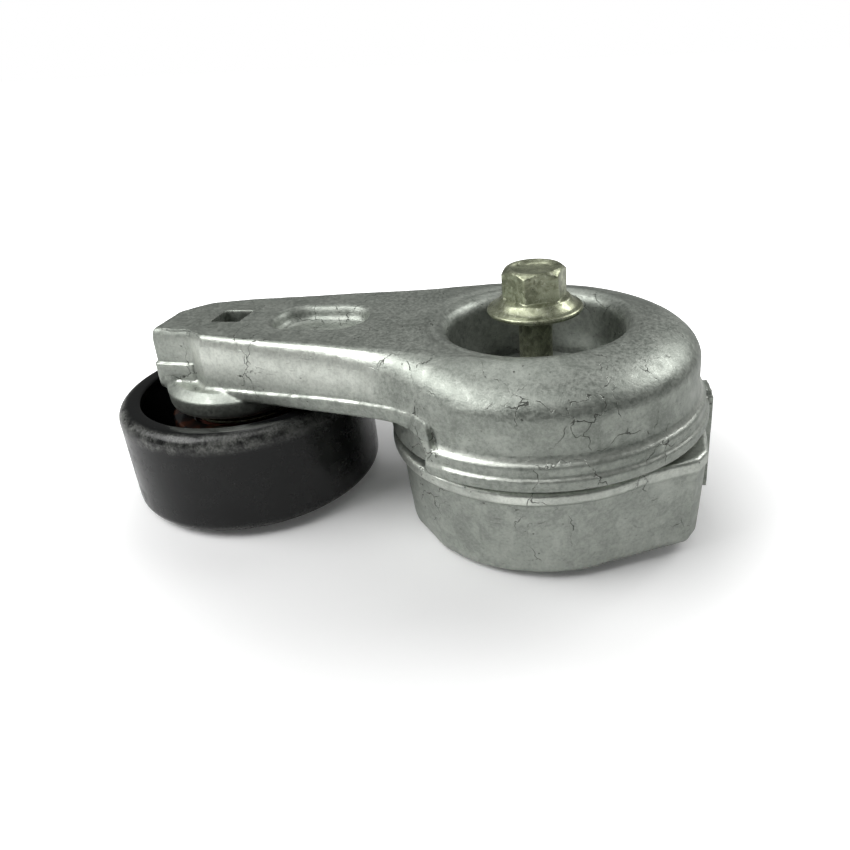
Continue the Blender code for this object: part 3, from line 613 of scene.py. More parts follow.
def arm_marks(points, convex):
    """Scuffed bright edges and lip; painted highlights on the side wall and flange; painted shade
    in the hollows and along the top's edge; dark dashes on the lip.
    """
    x, y, z = points.T
    radius = np.hypot(x, y)
    on_arm = ramp(-x, 30, 44) * ramp(radius, DRUM_R - 2, DRUM_R + 3)
    flat_top = ramp(z, ARM_TOP - 0.75, ARM_TOP - 0.3)
    rough = noise(points, 1.8, 21)
    # Painted highlight: the arm's side wall, below its flat top, is brightened all along.
    side = on_arm * (1 - flat_top) * ramp(np.abs(y), 11, 14) * ramp(z, LIP_TOP, ARM_TOP - 6)
    ends, _, _, _, _, tops, _ = np.array(ARM_SIDE).T
    lip = ramp(-x, 20, 24) * ramp(radius, DRUM_R - 1, DRUM_R)
    lip = lip * bump(z, np.interp(x, ends, tops) - 0.2, 0.8)
    # Painted highlights: bright lines on the flange's upper fillet and on its middle step.
    flange = bump(radius, FLANGE_R - 1.9, 1.4) * bump(z, FLANGE_TOP + 0.3, 1.5)
    step = ramp(radius, FLANGE_R - 1.6, FLANGE_R - 0.9) * bump(z, FLANGE_MID + 0.1, 0.8)
    wear = (
        0.8 * ramp(convex, 0.12, 0.5) * (0.45 + rough)
        + 0.95 * side * (0.6 + 0.4 * rough)
        + lip * (0.1 + 0.7 * ramp(noise(points, 2.6, 22), 0.3, 0.7))
        + 0.7 * flange
        + 0.5 * step
    )
    # Painted shade: a broken dark line where the flat top turns into its rounded edge.
    top_edge_shade = flat_top * ramp(convex, 0.03, 0.2) * ramp(noise(points, 4.0, 23), 0.35, 0.6)
    dashes = lip * ramp(noise(points, 1.1, 25), 0.55, 0.7)
    # Painted shade in the hollows, plus a broad darker mottle on the flat top and the dark dashes
    # on the lip.
    grime = ramp(-convex, 0.08, 0.4) + 0.4 * flat_top * noise(points, 14, 24)
    grime = grime + 0.9 * top_edge_shade + 0.8 * dashes
    return wear, grime


def make_arm():
    arm = lathe("arm_cast", drum_profile())
    plate = lofted("plate", arm_rings())
    inner = DRUM_R - DRUM_WALL + 0.4
    keep_out = turned(
        "keep_out",
        [
            (inner, FLANGE_LOW - 2), (inner, DRUM_WALL_TOP - 3.0), (35.0, DRUM_WALL_TOP + 2.2),
            (CREST_R + 0.4, ARM_TOP - 4.0), (CREST_R + 0.4, CREST_TOP - 0.3),
            (CREST_R + 2.6, ARM_TOP + 0.02), (CREST_R + 2.6, ARM_TOP + 3),
        ],
    )
    combined(plate, [keep_out], "DIFFERENCE")
    ledge = [(-112.2, -12.4), (-98.6, -13.3), (-98.6, 0), (-112.2, 0)]
    end_ledge = layered(
        "end_ledge",
        [
            (rounded(ledge, [1.4, 0.6, 0, 0]), z)
            for z in (LIP_TOP - 2.0, 45.0)
        ],
    )
    boss = turned(
        "boss",
        [
            (STEM_R, STEM_LOW), (STEM_R, BOSS_LOW), (BOSS_R - 9.0, BOSS_LOW + 0.02),
            (BOSS_R - 1.6, BOSS_LOW + 0.3), (BOSS_R - 0.7, BOSS_LOW + 0.9),
            (BOSS_R - 0.3, BOSS_LOW + 2.0), (BOSS_R - 0.1, PLATE_LOW + 0.7),
            (BOSS_R - 3.0, PLATE_LOW + 3),
        ],
        PULLEY_AT,
    )
    combined(arm, [plate, boss, end_ledge, shoulder(1), shoulder(-1), *tab()], "UNION")
    half = DRIVE_SIDE / 2
    x, y = PULLEY_AT
    drive = block("drive", (x - half, y - half, ARM_TOP - 11.5), (x + half, y + half, ARM_TOP + 2))
    thread = turned("thread", [(4.9, STEM_LOW - 2), (4.9, ARM_TOP - 14.0)], PULLEY_AT, 64)
    combined(arm, [drive, pocket(), thread, flange_trim(), crease(1), crease(-1)], "DIFFERENCE")
    return skinned(arm, 3, 0.14, arm_marks)


# ---- turned parts


def collar(inner, outer, low, high):
    return [(inner, low), (outer, low), (outer, high), (inner, high)]


def ring(name, profile, rounding, centre=(0.0, 0.0)):
    """A turned ring with softened edges."""
    return smooth_shaded(lathe(name, rounded(profile, rounding, 5), centre), 40)


def make_pivot():
    """The turned and moulded pieces round the pivot."""
    head, top, seat, cup = TUBE_HEAD_R, TUBE_TOP, FLOOR_T, CUP_R
    tube = [(TUBE_BORE_R, 0.3), (TUBE_R, 0.3), (TUBE_R, top - 2.0)]
    tube += [(head, top - 1.8), (head, top), (TUBE_BORE_R, top)]
    tray = [(15.2, seat + 0.3), (cup - 2.4, seat + 0.3), (cup - 0.5, seat + 2.0)]
    tray += [(cup - 0.5, seat + 6.0), (cup - 1.2, seat + 6.0), (cup - 1.6, seat + 2.2)]
    tray += [(15.2, seat + 2.2)]
    return {
        "pivot_tube": ring("pivot_turned", tube, 0.45),
        "retaining_plate": ring("plate_pressed", collar(9.4, 20.4, 35.2, 36.9), 0.5),
        "thrust_washer": ring("washer_moulded", collar(9.4, 19.0, 33.3, 34.9), 0.3),
        "pivot_bushing": ring("bushing_turned", collar(9.35, 11.4, 10.9, 32.9), 0.25),
        "spring_seat": ring("seat_moulded", tray, 0.4),
        "damper_ring": ring("damper_moulded", collar(35.6, 37.8, 23.9, 34.2), 0.4),
    }


def make_spring():
    """A round wire coil with flat cut ends."""
    around, per_turn = 20, 72
    total = int(SPRING_TURNS * per_turn)
    turn = 2 * math.pi * np.arange(total + 1) / per_turn
    rise = SPRING_LOW + (SPRING_HIGH - SPRING_LOW) * np.arange(total + 1) / total
    lead = math.atan2(SPRING_HIGH - SPRING_LOW, 2 * math.pi * SPRING_R * SPRING_TURNS)
    b = 2 * math.pi * np.arange(around) / around
    sections = []
    for a, z in zip(turn, rise):
        out = np.array([math.cos(a), math.sin(a), 0.0])
        up = np.array([math.sin(a) * math.sin(lead), -math.cos(a) * math.sin(lead), math.cos(lead)])
        wire = np.outer(np.cos(b), out) + np.outer(np.sin(b), up)
        sections.append(out * SPRING_R + [0, 0, z] + SPRING_WIRE_R * wire)
    return smooth_shaded(lofted("spring_wire", sections), 50)


# ---- bolts


def hexagon(flats, angles):
    """A hexagon's reach at these angles, its corners eased."""
    within = (angles + math.pi / 6) % (math.pi / 3) - math.pi / 6
    limit = flats / 2 / math.cos(math.pi / 6) - HEX_EASE
    return np.minimum(flats / 2 / np.cos(within), limit)


def hex_head(flats, low, top, angles):
    """Rings of a hexagon head whose upper corners are turned off at 30 degrees."""
    reach = hexagon(flats, angles)
    slope = math.tan(math.radians(30))
    rings = []
    for z in np.linspace(low, top, 34):
        cone = flats / 2 - 0.15 + (top - z) / slope * HEX_CHAMFER
        rings.append((np.minimum(reach, cone), z))
    return rings


def polar_solid(name, rings, angles, centre=(0.0, 0.0)):
    """A solid through rings of (radius at each angle, z), the z a number or one for each angle."""
    x, y = centre
    sections = []
    for radius, z in rings:
        columns = (x + radius * np.cos(angles), y + radius * np.sin(angles), z)
        sections.append(np.stack(np.broadcast_arrays(*columns), 1))
    return smooth_shaded(lofted(name, sections), 32)


def thread_rings(low, high, radius, depth, pitch, angles, turn):
    """Rings that follow a screw thread, fading out over its last turns."""
    rings = []
    for z in np.arange(low, high, pitch / 10):
        phase = (z / pitch - (angles - turn) / (2 * math.pi)) % 1.0
        groove = np.clip(np.abs(phase - 0.5) * 2.3 - 0.15, 0, 1)
        fade = ramp(high - z, 0.2, 2.4) * ramp(z - low, -0.6, 1.2)
        tip = 0.9 * (1 - ramp(z - low, -0.4, 1.0))
        rings.append((radius - depth * (1 - groove) * fade - tip, z))
    return rings


def make_bolt():
    """The mounting bolt, from its tip up, and the ring that holds it captive."""
    turn = math.radians(HEX_TURN)
    angles = turn + 2 * math.pi * np.arange(STEPS) / STEPS
    local = angles - turn
    low, head = BOLT_LOW, BOLT_HEAD_LOW
    half = HEX_FLATS / 2
    neck, edge = half + 1.9, BOLT_FLANGE_R - 0.75
    rings = [(BOLT_R - 1.5, low)]
    thread = (BOLT_R, THREAD_DEPTH, THREAD_PITCH)
    rings += thread_rings(low + 0.05, BOLT_THREAD_TOP, *thread, angles, turn)
    shank = BOLT_SHANK_R
    rings += [(shank + 0.25, BOLT_THREAD_TOP + 0.2), (shank, BOLT_THREAD_TOP + 0.6)]
    rings += [(shank, head - 0.9), (shank + 0.25, head - 0.3), (shank + 0.9, head)]
    rings += [(BOLT_FLANGE_R - 1.6, head), (BOLT_FLANGE_R - 0.5, head + 0.1)]
    rings += arc((edge, head + 0.85), 0.75, -80, 70, 8)
    for k in range(1, 7):
        t = k / 6
        rings.append((edge + (neck - edge) * t, head + 1.6 + 2.0 * t**1.5))
    blend_low = head + 3.6
    hexed = hex_head(HEX_FLATS, blend_low + 0.9, HEX_TOP - 0.25, local)
    for k in range(1, 5):
        t = ramp(k / 5, 0, 1)
        rings.append((neck * (1 - t) + hexed[0][0] * t, blend_low + 0.18 * k))
    rings += hexed
    rings += [(half - 0.55, HEX_TOP), (half - 1.15, HEX_TOP), (half - 1.6, HEX_TOP - 0.3)]
    rings += [(half - 2.1, HEX_TOP - 0.75), (half - 3.2, HEX_TOP - 0.95), (1.2, HEX_TOP - 1.0)]
    return {
        "mounting_bolt": polar_solid("bolt_forged", rings, angles),
        "bolt_retainer": ring("retainer_moulded", collar(4.75, 5.4, 35.0, 38.0), 0.15),
    }


def make_pulley_bolt():
    """The bolt under the pulley, from its head up."""
    turn = math.radians(8.0)
    angles = turn + 2 * math.pi * np.arange(STEPS) / STEPS
    local = angles - turn
    hexed = [(r, 10.6 + 4.6 - z) for r, z in reversed(hex_head(13.0, 4.6, 10.4, local))]
    rings = [(3.0, 5.5), (4.2, 5.3), (5.2, 4.9), (5.9, 4.65), (6.3, 4.65)]
    rings += hexed
    rings += [(7.6, 10.62), (9.6, 10.75), (10.5, 11.0), (10.8, 11.5), (10.6, 12.0)]
    rings += [(8.2, 12.0), (8.2, 26.0), (4.6, 26.0)]
    rings += thread_rings(26.1, 39.4, 4.6, 0.6, 1.25, angles, turn)
    rings += [(4.0, 40.0), (3.6, 40.2)]
    return polar_solid("pulley_bolt_forged", rings, angles, PULLEY_AT)


# ---- pulley and bearing


def make_pulley():
    t = SHELL_T
    low = arc((PULLEY_R - 3.0, PULLEY_LOW + 3.0), 3.0, -90, 0, 10)
    belt = [(PULLEY_R, z) for z in np.linspace(PULLEY_LOW + 6, PULLEY_HIGH - 7, 8)]
    high = arc((PULLEY_R - 3.6, PULLEY_HIGH - 3.6), 3.6, 0, 90, 12)
    rim = rounded(
        [
            (PULLEY_R - 4.0, PULLEY_HIGH), (RIM_INNER_R, PULLEY_HIGH - 0.1),
            (RIM_INNER_R, PULLEY_HIGH - 2.6), (PULLEY_R - t - 1.2, PULLEY_HIGH - 3.4),
            (PULLEY_R - t, PULLEY_HIGH - 5.2), (PULLEY_R - t - 0.5, PULLEY_LOW + 3.2),
            (30.5, PULLEY_LOW + 3.4), (25.6, 17.0), (23.4, 18.4), (23.2, BEARING_HIGH + 2.3),
            (18.3, BEARING_HIGH + 2.3), (18.3, BEARING_HIGH + 0.3),
            (BEARING_OUT_R + 0.3, BEARING_HIGH + 0.3),
            (BEARING_OUT_R + 0.3, BEARING_LOW - 0.5), (20.8, BEARING_LOW - 1.4),
            (23.0, BEARING_LOW - 1.4), (26.0, PULLEY_LOW + 1.6), (28.0, PULLEY_LOW),
            (32.0, PULLEY_LOW),
        ],
        [0, 0.7, 0.9, 0.8, 1.2, 2.2, 2.4, 1.4, 0.8, 0.7]
        + [0.4, 0.25, 0.25, 0.4, 0.5, 1.2, 1.6, 1.6, 0],
    )
    return smooth_shaded(lathe("pulley_rolled", low + belt + high + rim, PULLEY_AT, 256), 50)


def race(sign, middle):
    """The groove that the balls run in, in the outer race (1) or the inner one (-1)."""
    groove = BALL_R + 0.12
    points = []
    for k in range(17):
        z = middle + groove * 0.72 * (1 - 2 * k / 16)
        points.append((BALL_PITCH_R + sign * math.sqrt(groove**2 - (z - middle) ** 2), z))
    return points


def make_bearing():
    r, b = BEARING_OUT_R, BEARING_IN_R
    low, high = BEARING_LOW, BEARING_HIGH
    middle = (low + high) / 2
    outer = [(r - 0.6, low), (r - 0.15, low + 0.2), (r, low + 0.6)]
    outer += [(r, high - 0.6), (r - 0.15, high - 0.2), (r - 0.6, high)]
    outer += [(17.2, high), *race(1, middle), (17.2, low)]
    inner = [(b, low + 0.5), (b + 0.15, low + 0.15), (b + 0.5, low), (11.4, low)]
    inner += [*reversed(race(-1, middle)), (11.4, high)]
    inner += [(b + 0.5, high), (b + 0.15, high - 0.15), (b, high - 0.5)]
    pieces = {
        "bearing_outer_race": smooth_shaded(lathe("race_outer", outer, PULLEY_AT), 35),
        "bearing_inner_race": smooth_shaded(lathe("race_inner", inner, PULLEY_AT), 35),
    }
    # (radius, how far the face stands back): two grooves between the seal's lips
    lips = [(12.5, 0), (12.9, 0.25), (14.0, 0.3), (14.4, 0.05)]
    lips += [(15.4, 0.05), (15.8, 0.3), (16.4, 0.3), (16.9, 0)]
    for node, face, step in (("seal_lower", low + 0.3, 1), ("seal_upper", high - 0.3, -1)):
        back = face + step
        profile = [(11.8, back), (11.8, face)]
        profile += [(x, face + step * d) for x, d in lips] + [(16.9, back)]
        turned_seal = lathe(node.replace("_", "_lip_"), profile, PULLEY_AT)
        pieces[node] = smooth_shaded(turned_seal, 60)
    below = [(8.4, 12.3), (17.6, 12.3), (17.6, 12.9), (11.0, 13.6), (8.4, 13.6)]
    above = [(12.6, 28.0), (16.9, 28.0), (17.4, 28.5), (17.4, 29.1), (12.6, 29.1)]
    pieces["dust_shield_lower"] = ring("shield_below", below, 0.22, PULLEY_AT)
    pieces["dust_shield_upper"] = ring("shield_above", above, 0.25, PULLEY_AT)
    return pieces


def make_cage():
    """The bearing's cage: a band with a round pocket for each ball."""
    middle = (BEARING_LOW + BEARING_HIGH) / 2
    low, high = middle - 4.5, middle + 2.0
    profile = [(13.4, low), (15.1, low), (15.1, high), (13.4, high)]
    band_ring = lathe("cage_moulded", rounded(profile, 0.3, 4), PULLEY_AT)
    centre = np.array([*PULLEY_AT, middle])
    turn = 2 * math.pi * np.arange(40) / 40
    pockets = []
    for i in range(BALLS):
        a = 2 * math.pi * (i + 0.5) / BALLS
        out = np.array([math.cos(a), math.sin(a), 0.0])
        side = np.array([-math.sin(a), math.cos(a), 0.0])
        rim = np.outer(np.cos(turn), side) + np.outer(np.sin(turn), [0, 0, 1])
        rim = centre + (BALL_R + 0.25) * rim
        pockets.append(lofted("ball_pocket", [rim + out * reach for reach in (9.8, 18.8)]))
    return smooth_shaded(combined(band_ring, pockets, "DIFFERENCE"), 35)


# ---- materials


class Looks:
    """A material under construction: short calls that add and link its nodes."""

    def __init__(self, name):
        self.material = bpy.data.materials.new(name)
        self.material.use_nodes = True
        self.tree = self.material.node_tree
        self.shader = self.tree.nodes["Principled BSDF"]
        self.place = self.node("TexCoord").outputs["Object"]

    def put(self, socket, value):
        if isinstance(value, bpy.types.NodeSocket):
            self.tree.links.new(value, socket)
        elif isinstance(value, tuple) and len(value) == 3 and socket.type == "RGBA":
            socket.default_value = (*value, 1.0)
        else:
            socket.default_value = value

    def node(self, kind, inputs=None, **settings):
        """A new node with these settings, its inputs set or linked by name or number."""
        node = self.tree.nodes.new("ShaderNode" + kind)
        for setting, value in settings.items():
            setattr(node, setting, value)
        for socket, value in (inputs or {}).items():
            self.put(node.inputs[socket], value)
        return node

    def set(self, **sockets):
        """Sets or links the Principled shader's sockets: base_color=..., roughness=..."""
        names = {s.name.lower().replace(" ", "_"): s for s in self.shader.inputs}
        for name, value in sockets.items():
            self.put(names[name], value)
        return self.material

    def attribute(self, name):
        return self.node("Attribute", attribute_name=name).outputs["Fac"]

    def math(self, operation, a, b=0.0, clamp=False):
        return self.node("Math", {0: a, 1: b}, operation=operation, use_clamp=clamp).outputs[0]

    def add(self, *values):
        return functools.reduce(lambda a, b: self.math("ADD", a, b), values)

    def times(self, *values):
        return functools.reduce(lambda a, b: self.math("MULTIPLY", a, b), values)

    def scaled(self, factors=(1, 1, 1)):
        """The place in millimetres, stretched by these factors."""
        scale = [f / MM for f in factors]
        return self.node("Mapping", {"Vector": self.place, "Scale": scale}).outputs[0]

    def from_axis(self, centre):
        """How far a point is from a vertical axis, in x, in y and in all, and its height."""
        split = self.node("SeparateXYZ", {0: self.place})
        dx = self.math("SUBTRACT", split.outputs["X"], centre[0] * MM)
        dy = self.math("SUBTRACT", split.outputs["Y"], centre[1] * MM)
        radius = self.math("SQRT", self.add(self.times(dx, dx), self.times(dy, dy)))
        return dx, dy, radius, split.outputs["Z"]

    def clouds(self, size, detail, rough, distortion, at):
        inputs = {"Scale": 1.0 / size, "Detail": detail, "Roughness": rough}
        inputs |= {"Distortion": distortion, "Vector": at or self.scaled()}
        return self.node("TexNoise", inputs)

    def noise(self, size, detail=3.0, rough=0.55, at=None, distortion=0.0):
        """Noise from 0 to 1 whose lumps are about this many millimetres across."""
        return self.clouds(size, detail, rough, distortion, at).outputs["Fac"]

    def warped(self, size, amount):
        """The place in millimetres, pushed about by noise."""
        push = self.clouds(size, 3.0, 0.5, 0.0, None).outputs["Color"]
        inputs = {0: push, 1: (amount, amount, amount), 2: self.scaled()}
        return self.node("VectorMath", inputs, operation="MULTIPLY_ADD").outputs[0]

    def cells(self, size, at=None, edge=False):
        """Distance to the nearest point, or to the nearest edge, of cells of this size."""
        inputs = {"Scale": 1.0 / size, "Vector": at or self.scaled()}
        feature = "DISTANCE_TO_EDGE" if edge else "F1"
        return self.node("TexVoronoi", inputs, feature=feature).outputs["Distance"]

    def remap(self, value, low, high, start=0.0, end=1.0):
        inputs = {"Value": value, "From Min": low, "From Max": high, "To Min": start, "To Max": end}
        return self.node("MapRange", inputs, interpolation_type="SMOOTHSTEP").outputs[0]

    def mix(self, share, a, b):
        """A colour that goes from a to b with share."""
        return self.node("Mix", {0: share, 6: a, 7: b}, data_type="RGBA").outputs[2]

    def between(self, share, a, b):
        """A number that goes from a to b with share."""
        return self.node("Mix", {0: share, 2: a, 3: b}, data_type="FLOAT").outputs[0]

    def bump(self, height, depth):
        """A normal from a height of 0 to 1 that stands this many millimetres proud."""
        inputs = {"Distance": depth * MM, "Strength": 1.0, "Height": height}
        return self.node("Bump", inputs).outputs[0]


def cast_metal(name, light, dark, bright, sound):
    """As-cast aluminium, mottled and fine grained, bright where scuffing and painted highlights are
    marked, and dark where painted shade and dirt are marked.

    sound is how much of its skin is free of hairline cracks.
    """
    m = Looks(name)
    wear, grime = m.attribute("wear"), m.attribute("grime")
    cloud = m.noise(11.0, 5.0, 0.6)
    speckle = m.noise(0.9, 4.0, 0.7)
    blotch = m.remap(m.noise(4.5, 4.0, 0.65, distortion=0.6), 0.42, 0.66)
    crazed = m.warped(5.0, 7.0)
    crack = m.remap(m.cells(12.0, crazed, edge=True), 0.0, 0.014, 1.0, 0.0)
    crack_zone = m.remap(m.noise(17.0, 2.0), sound, sound + 0.1)
    crack = m.times(crack, crack_zone, m.remap(m.noise(3.0, 2.0), 0.38, 0.52))
    scratch = m.remap(m.noise(1.0, 2.0, 0.5, m.scaled((0.10, 0.9, 2.2))), 0.69, 0.74)
    pit = m.remap(m.cells(2.6, m.warped(1.5, 1.2)), 0.05, 0.13, 1.0, 0.0)
    pit = m.times(pit, m.remap(m.noise(8.0, 2.0), 0.5, 0.62))
    tone = m.add(m.times(cloud, 0.4), m.times(speckle, 0.6))
    colour = m.mix(m.remap(tone, 0.34, 0.66), dark, light)
    colour = m.mix(m.times(blotch, 0.15), colour, bright)
    # Brightens towards the bright metal where the mesh marks scuffing and painted highlights.
    brightening = m.math("MULTIPLY", wear, m.remap(speckle, 0.2, 0.7, 0.6, 1.0), True)
    colour = m.mix(brightening, colour, bright)
    # Darkens towards near-black where the mesh marks painted shade and dirt.
    shade_and_stain = m.math("MULTIPLY", grime, m.remap(m.noise(1.6, 4.0, 0.7), 0.3, 0.7, 0.35, 1.0), True)
    colour = m.mix(m.times(shade_and_stain, 0.62), colour, (0.055, 0.055, 0.048))
    colour = m.mix(m.times(pit, 0.7), colour, (0.05, 0.05, 0.045))
    colour = m.mix(m.times(scratch, 0.35), colour, (0.10, 0.10, 0.09))
    colour = m.mix(m.times(crack, 0.85), colour, (0.035, 0.035, 0.03))
    rough = m.add(m.remap(speckle, 0.3, 0.7, 0.40, 0.58), m.times(blotch, -0.05))
    rough = m.add(rough, m.times(shade_and_stain, 0.18))
    rough = m.between(wear, rough, 0.30)
    height = m.add(
        m.times(m.noise(0.45, 4.0, 0.6), 0.35),
        m.times(m.noise(1.8, 3.0, 0.5), 0.65),
        m.times(crack, -0.8),
        m.times(pit, -0.7),
    )
    return m.set(base_color=colour, roughness=rough, metallic=0.88, normal=m.bump(height, 0.11))


def plated(name, light, dark, bright):
    """Yellow zinc plating, blotched and scuffed through to bright metal in spots."""
    m = Looks(name)
    blotch = m.remap(m.noise(2.4, 5.0, 0.7, distortion=0.8), 0.36, 0.64)
    grain = m.noise(0.35, 4.0, 0.7)
    brightening = m.remap(m.noise(1.2, 4.0, 0.7), 0.56, 0.70)
    soot = m.remap(m.noise(3.1, 5.0, 0.75, m.scaled((1.0, 1.3, 0.8))), 0.55, 0.72)
    colour = m.mix(blotch, dark, light)
    colour = m.mix(m.times(brightening, 0.6), colour, bright)
    colour = m.mix(m.times(soot, 0.75), colour, (0.06, 0.06, 0.045))
    rough = m.add(m.remap(grain, 0.3, 0.7, 0.26, 0.42), m.times(soot, 0.18))
    height = m.add(m.times(grain, 0.5), m.times(m.noise(1.6, 3.0), 0.5))
    return m.set(base_color=colour, roughness=rough, metallic=0.85, normal=m.bump(height, 0.06))


def black_paint(name):
    """Gloss black with an orange peel, dust, and a grey band on the rim: scuffing all round, and
    painted highlight stronger on the front-left side.
    """
    m = Looks(name)
    dx, dy, radius, z = m.from_axis(PULLEY_AT)
    outer = m.remap(radius, (PULLEY_R - 3.4) * MM, (PULLEY_R - 1.0) * MM)
    high = m.remap(z, (PULLEY_HIGH - 6.0) * MM, (PULLEY_HIGH - 3.2) * MM)
    low = m.remap(z, (PULLEY_LOW + 3.6) * MM, (PULLEY_LOW + 1.0) * MM)
    # Painted highlight: the grey band on the rim's upper fillet is made stronger on the front-left
    # side.
    highlight_side = m.remap(m.add(m.times(dx, -0.45), m.times(dy, -0.9)), 0.0, 34.0 * MM)
    patchy = m.remap(m.noise(5.0, 4.0, 0.65), 0.30, 0.62)
    fine = m.remap(m.noise(0.8, 4.0, 0.75), 0.35, 0.66)
    grey_wear_and_highlight = m.times(outer, high, patchy, m.remap(fine, 0.0, 1.0, 0.45, 1.0))
    grey_wear_and_highlight = m.times(grey_wear_and_highlight, m.remap(highlight_side, 0.0, 1.0, 0.35, 1.0))
    grey_wear_and_highlight = m.math("MAXIMUM", grey_wear_and_highlight, m.times(outer, low, patchy, fine, 0.35))
    dust = m.times(m.remap(m.noise(7.0, 5.0, 0.7), 0.36, 0.70), outer)
    speck = m.remap(m.cells(1.5), 0.04, 0.10, 1.0, 0.0)
    speck = m.times(speck, m.remap(m.noise(6.0, 2.0), 0.50, 0.62))
    inside = m.remap(radius, 31.6 * MM, 29.5 * MM)
    rust = m.times(inside, m.remap(m.noise(4.0, 4.0, 0.7), 0.45, 0.62))
    colour = m.mix(m.times(dust, 0.55), (0.0045, 0.0047, 0.005), (0.012, 0.013, 0.012))
    colour = m.mix(m.times(rust, 0.8), colour, (0.045, 0.016, 0.008))
    colour = m.mix(m.times(grey_wear_and_highlight, 0.8), colour, (0.20, 0.205, 0.19))
    colour = m.mix(m.times(speck, 0.35), colour, (0.14, 0.14, 0.13))
    rough = m.add(m.remap(dust, 0.0, 1.0, 0.16, 0.34), m.times(grey_wear_and_highlight, 0.24))
    height = m.add(m.times(m.noise(1.6, 2.0), 0.7), m.times(m.noise(0.5, 3.0), 0.3))
    height = m.add(height, m.times(grey_wear_and_highlight, -0.5))
    return m.set(
        base_color=colour, roughness=rough, normal=m.bump(height, 0.03), specular_ior_level=0.28
    )


def turned_steel(name, colour, rough, centre=(0.0, 0.0), ring_size=0.35):
    """Steel with the fine rings of a lathe tool."""
    m = Looks(name)
    _, _, radius, z = m.from_axis(centre)
    around = m.node("CombineXYZ", {0: m.times(radius, 1 / MM), 1: m.times(z, 1 / MM)}).outputs[0]
    rings = m.noise(ring_size, 3.0, 0.7, around)
    cloud = m.noise(4.0, 4.0, 0.6)
    darker = tuple(c * 0.72 for c in colour)
    shade = m.mix(m.add(m.times(rings, 0.5), m.times(cloud, 0.5)), darker, colour)
    return m.set(
        base_color=shade,
        metallic=1.0,
        roughness=m.add(m.remap(rings, 0.3, 0.7, rough - 0.05, rough + 0.08), m.times(cloud, 0.06)),
        normal=m.bump(rings, 0.02),
    )


def moulded(name, colour, rough, grain=0.5):
    """Moulded plastic or rubber with a fine grain."""
    m = Looks(name)
    fine = m.noise(grain, 3.0, 0.6)
    cloud = m.noise(6.0, 4.0, 0.6)
    lighter = tuple(min(1.0, c * 1.5 + 0.006) for c in colour)
    shade = m.mix(m.remap(cloud, 0.35, 0.7), colour, lighter)
    return m.set(
        base_color=shade,
        roughness=m.remap(fine, 0.3, 0.7, rough - 0.07, rough + 0.07),
        normal=m.bump(fine, 0.03),
    )


def make_materials():
    bright = (0.80, 0.83, 0.76)
    base, base_dark = (0.42, 0.445, 0.405), (0.265, 0.285, 0.258)
    arm, arm_dark = (0.40, 0.425, 0.385), (0.225, 0.245, 0.218)
    zinc, zinc_dark, zinc_bright = (0.44, 0.465, 0.33), (0.23, 0.245, 0.165), (0.72, 0.74, 0.60)
    return {
        "cast_base": cast_metal("cast_base_skin", base, base_dark, bright, 0.53),
        "cast_arm": cast_metal("cast_arm_skin", arm, arm_dark, bright, 0.46),
        "zinc": plated("yellow_zinc", zinc, zinc_dark, zinc_bright),
        "pulley_black": black_paint("black_paint"),
        "steel": turned_steel("steel_turned", (0.50, 0.51, 0.50), 0.34),
        "bearing_steel": turned_steel("steel_ground", (0.72, 0.72, 0.73), 0.16, PULLEY_AT, 0.2),
        "bronze": turned_steel("bronze_turned", (0.60, 0.40, 0.18), 0.36),
        "spring_steel": turned_steel("spring_wire_dark", (0.16, 0.16, 0.17), 0.42, ring_size=1.2),
        "nylon": moulded("nylon_moulded", (0.022, 0.022, 0.024), 0.48),
        "seal": moulded("seal_rubber", (0.085, 0.020, 0.010), 0.55, 0.35),
    }


# ---- the object


def body_and_slot(node):
    bodies = frame["record"]["behaviour"]["bodies"]
    body = next(name for name, members in bodies.items() if node in members)
    slot = next(s["material_slot"] for s in frame["record"]["subparts"] if s["node"] == node)
    return body, slot


def dress(materials, pieces):
    """Puts each new piece in its CAD node's place, and gives every other node its material."""
    for node, obj in frame["nodes"].items():
        body, slot = body_and_slot(node)
        piece = pieces.get(node, obj)
        piece.data.materials.clear()
        piece.data.materials.append(materials[slot])
        if piece is not obj:
            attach(piece, body)
            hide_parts(node)


def make_pieces():
    """The new pieces, each under the name of the CAD node that it replaces."""
    return {
        **make_pivot(),
        **make_bolt(),
        "base_housing": make_base(),
        "arm_casting": make_arm(),
        "torsion_spring": make_spring(),
        "pulley_bolt": make_pulley_bolt(),
        "pulley_shell": make_pulley(),
        "ball_cage": make_cage(),
        **make_bearing(),
    }


# ---- studio


def make_floor():
    """A pale floor through the two points that the object stands on.

    The camera sees it glow away from the object, so that it fades to white.
    """
    (x0, z0), (x1, z1) = FLOOR_TOUCHES
    lean = math.atan2(z1 - z0, x0 - x1)
    mesh = bpy.data.meshes.new("floor")
    bm = bmesh.new()
    bmesh.ops.create_grid(bm, x_segments=8, y_segments=8, size=4.0)
    bm.to_mesh(mesh)
    bm.free()
    floor = placed("floor", mesh)
    low = Matrix.Translation((x0 * MM, 0, z0 * MM - 0.00005))
    floor.matrix_world = low @ Matrix.Rotation(lean, 4, "Y")
    m = Looks("floor_paper")
    reach = m.node("VectorMath", {0: m.place}, operation="LENGTH").outputs["Value"]
    seen = m.node("LightPath").outputs["Is Camera Ray"]
    m.set(
        base_color=(0.90, 0.90, 0.90),
        roughness=0.9,
        specular_ior_level=0.1,
        emission_color=(1.0, 1.0, 1.0),
        emission_strength=m.times(m.remap(reach, 0.06, 0.17, 0.05), seen),
    )
    mesh.materials.append(m.material)


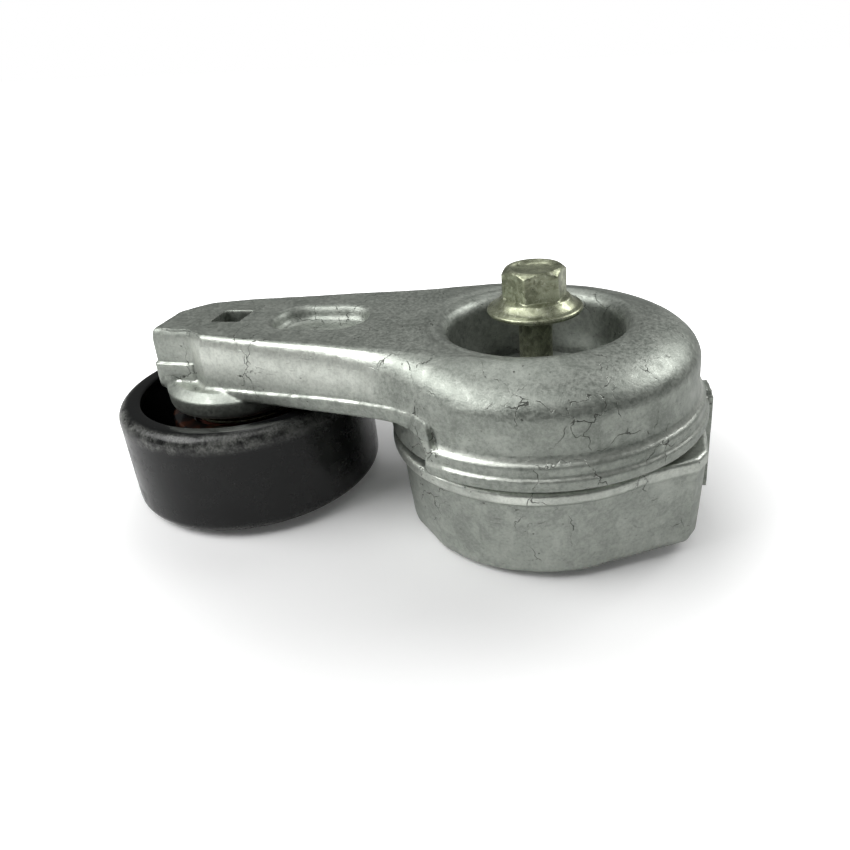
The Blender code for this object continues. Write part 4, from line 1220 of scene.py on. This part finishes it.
def soft_light(name, azimuth, elevation, distance, size, power):
    """An area light, placed by its direction from the object."""
    a, e = math.radians(azimuth), math.radians(elevation)
    away = Vector((math.cos(a) * math.cos(e), math.sin(a) * math.cos(e), math.sin(e)))
    lamp = bpy.data.lights.new(name, "AREA")
    lamp.shape = "RECTANGLE"
    lamp.size, lamp.size_y = size
    lamp.energy = power
    obj = placed(name, lamp)
    obj.location = Vector(LIGHTS_AIM) + away * distance
    obj.rotation_euler = away.to_track_quat("Z", "Y").to_euler()


def make_world():
    """White to the camera, and a grey room to everything else."""
    world = bpy.data.worlds.new("studio")
    bpy.context.scene.world = world
    world.use_nodes = True
    tree = world.node_tree
    tree.nodes.clear()
    output = tree.nodes.new("ShaderNodeOutputWorld")
    mix = tree.nodes.new("ShaderNodeMixShader")
    seen = tree.nodes.new("ShaderNodeLightPath")
    room, white = tree.nodes.new("ShaderNodeBackground"), tree.nodes.new("ShaderNodeBackground")
    room.inputs["Color"].default_value = (0.13, 0.133, 0.13, 1)
    white.inputs["Color"].default_value = (1, 1, 1, 1)
    tree.links.new(seen.outputs["Is Camera Ray"], mix.inputs[0])
    tree.links.new(room.outputs[0], mix.inputs[1])
    tree.links.new(white.outputs[0], mix.inputs[2])
    tree.links.new(mix.outputs[0], output.inputs["Surface"])


def make_studio():
    make_floor()
    make_world()
    soft_light("key", -152, 42, 0.60, (0.44, 0.30), 2.6)
    soft_light("front", -104, 70, 0.80, (0.60, 0.40), 1.5)
    soft_light("right", 32, 36, 0.70, (0.36, 0.24), 1.7)
    soft_light("back", 110, 60, 0.80, (0.40, 0.30), 0.9)
    bpy.context.scene.view_settings.view_transform = "Standard"


def make_camera():
    right, down = Vector(CAMERA_RIGHT), Vector(CAMERA_DOWN)
    forward = right.cross(down)
    camera = bpy.data.cameras.new("camera")
    camera.lens = CAMERA_LENS
    camera.sensor_width = 36.0
    camera.shift_x, camera.shift_y = CAMERA_SHIFT
    camera.clip_start = 0.01
    obj = placed("camera", camera)
    columns = Matrix((right, -down, -forward)).transposed()
    obj.matrix_world = Matrix.Translation(CAMERA_AT) @ columns.to_4x4()
    bpy.context.scene.camera = obj


make_camera()
make_studio()
dress(make_materials(), make_pieces())
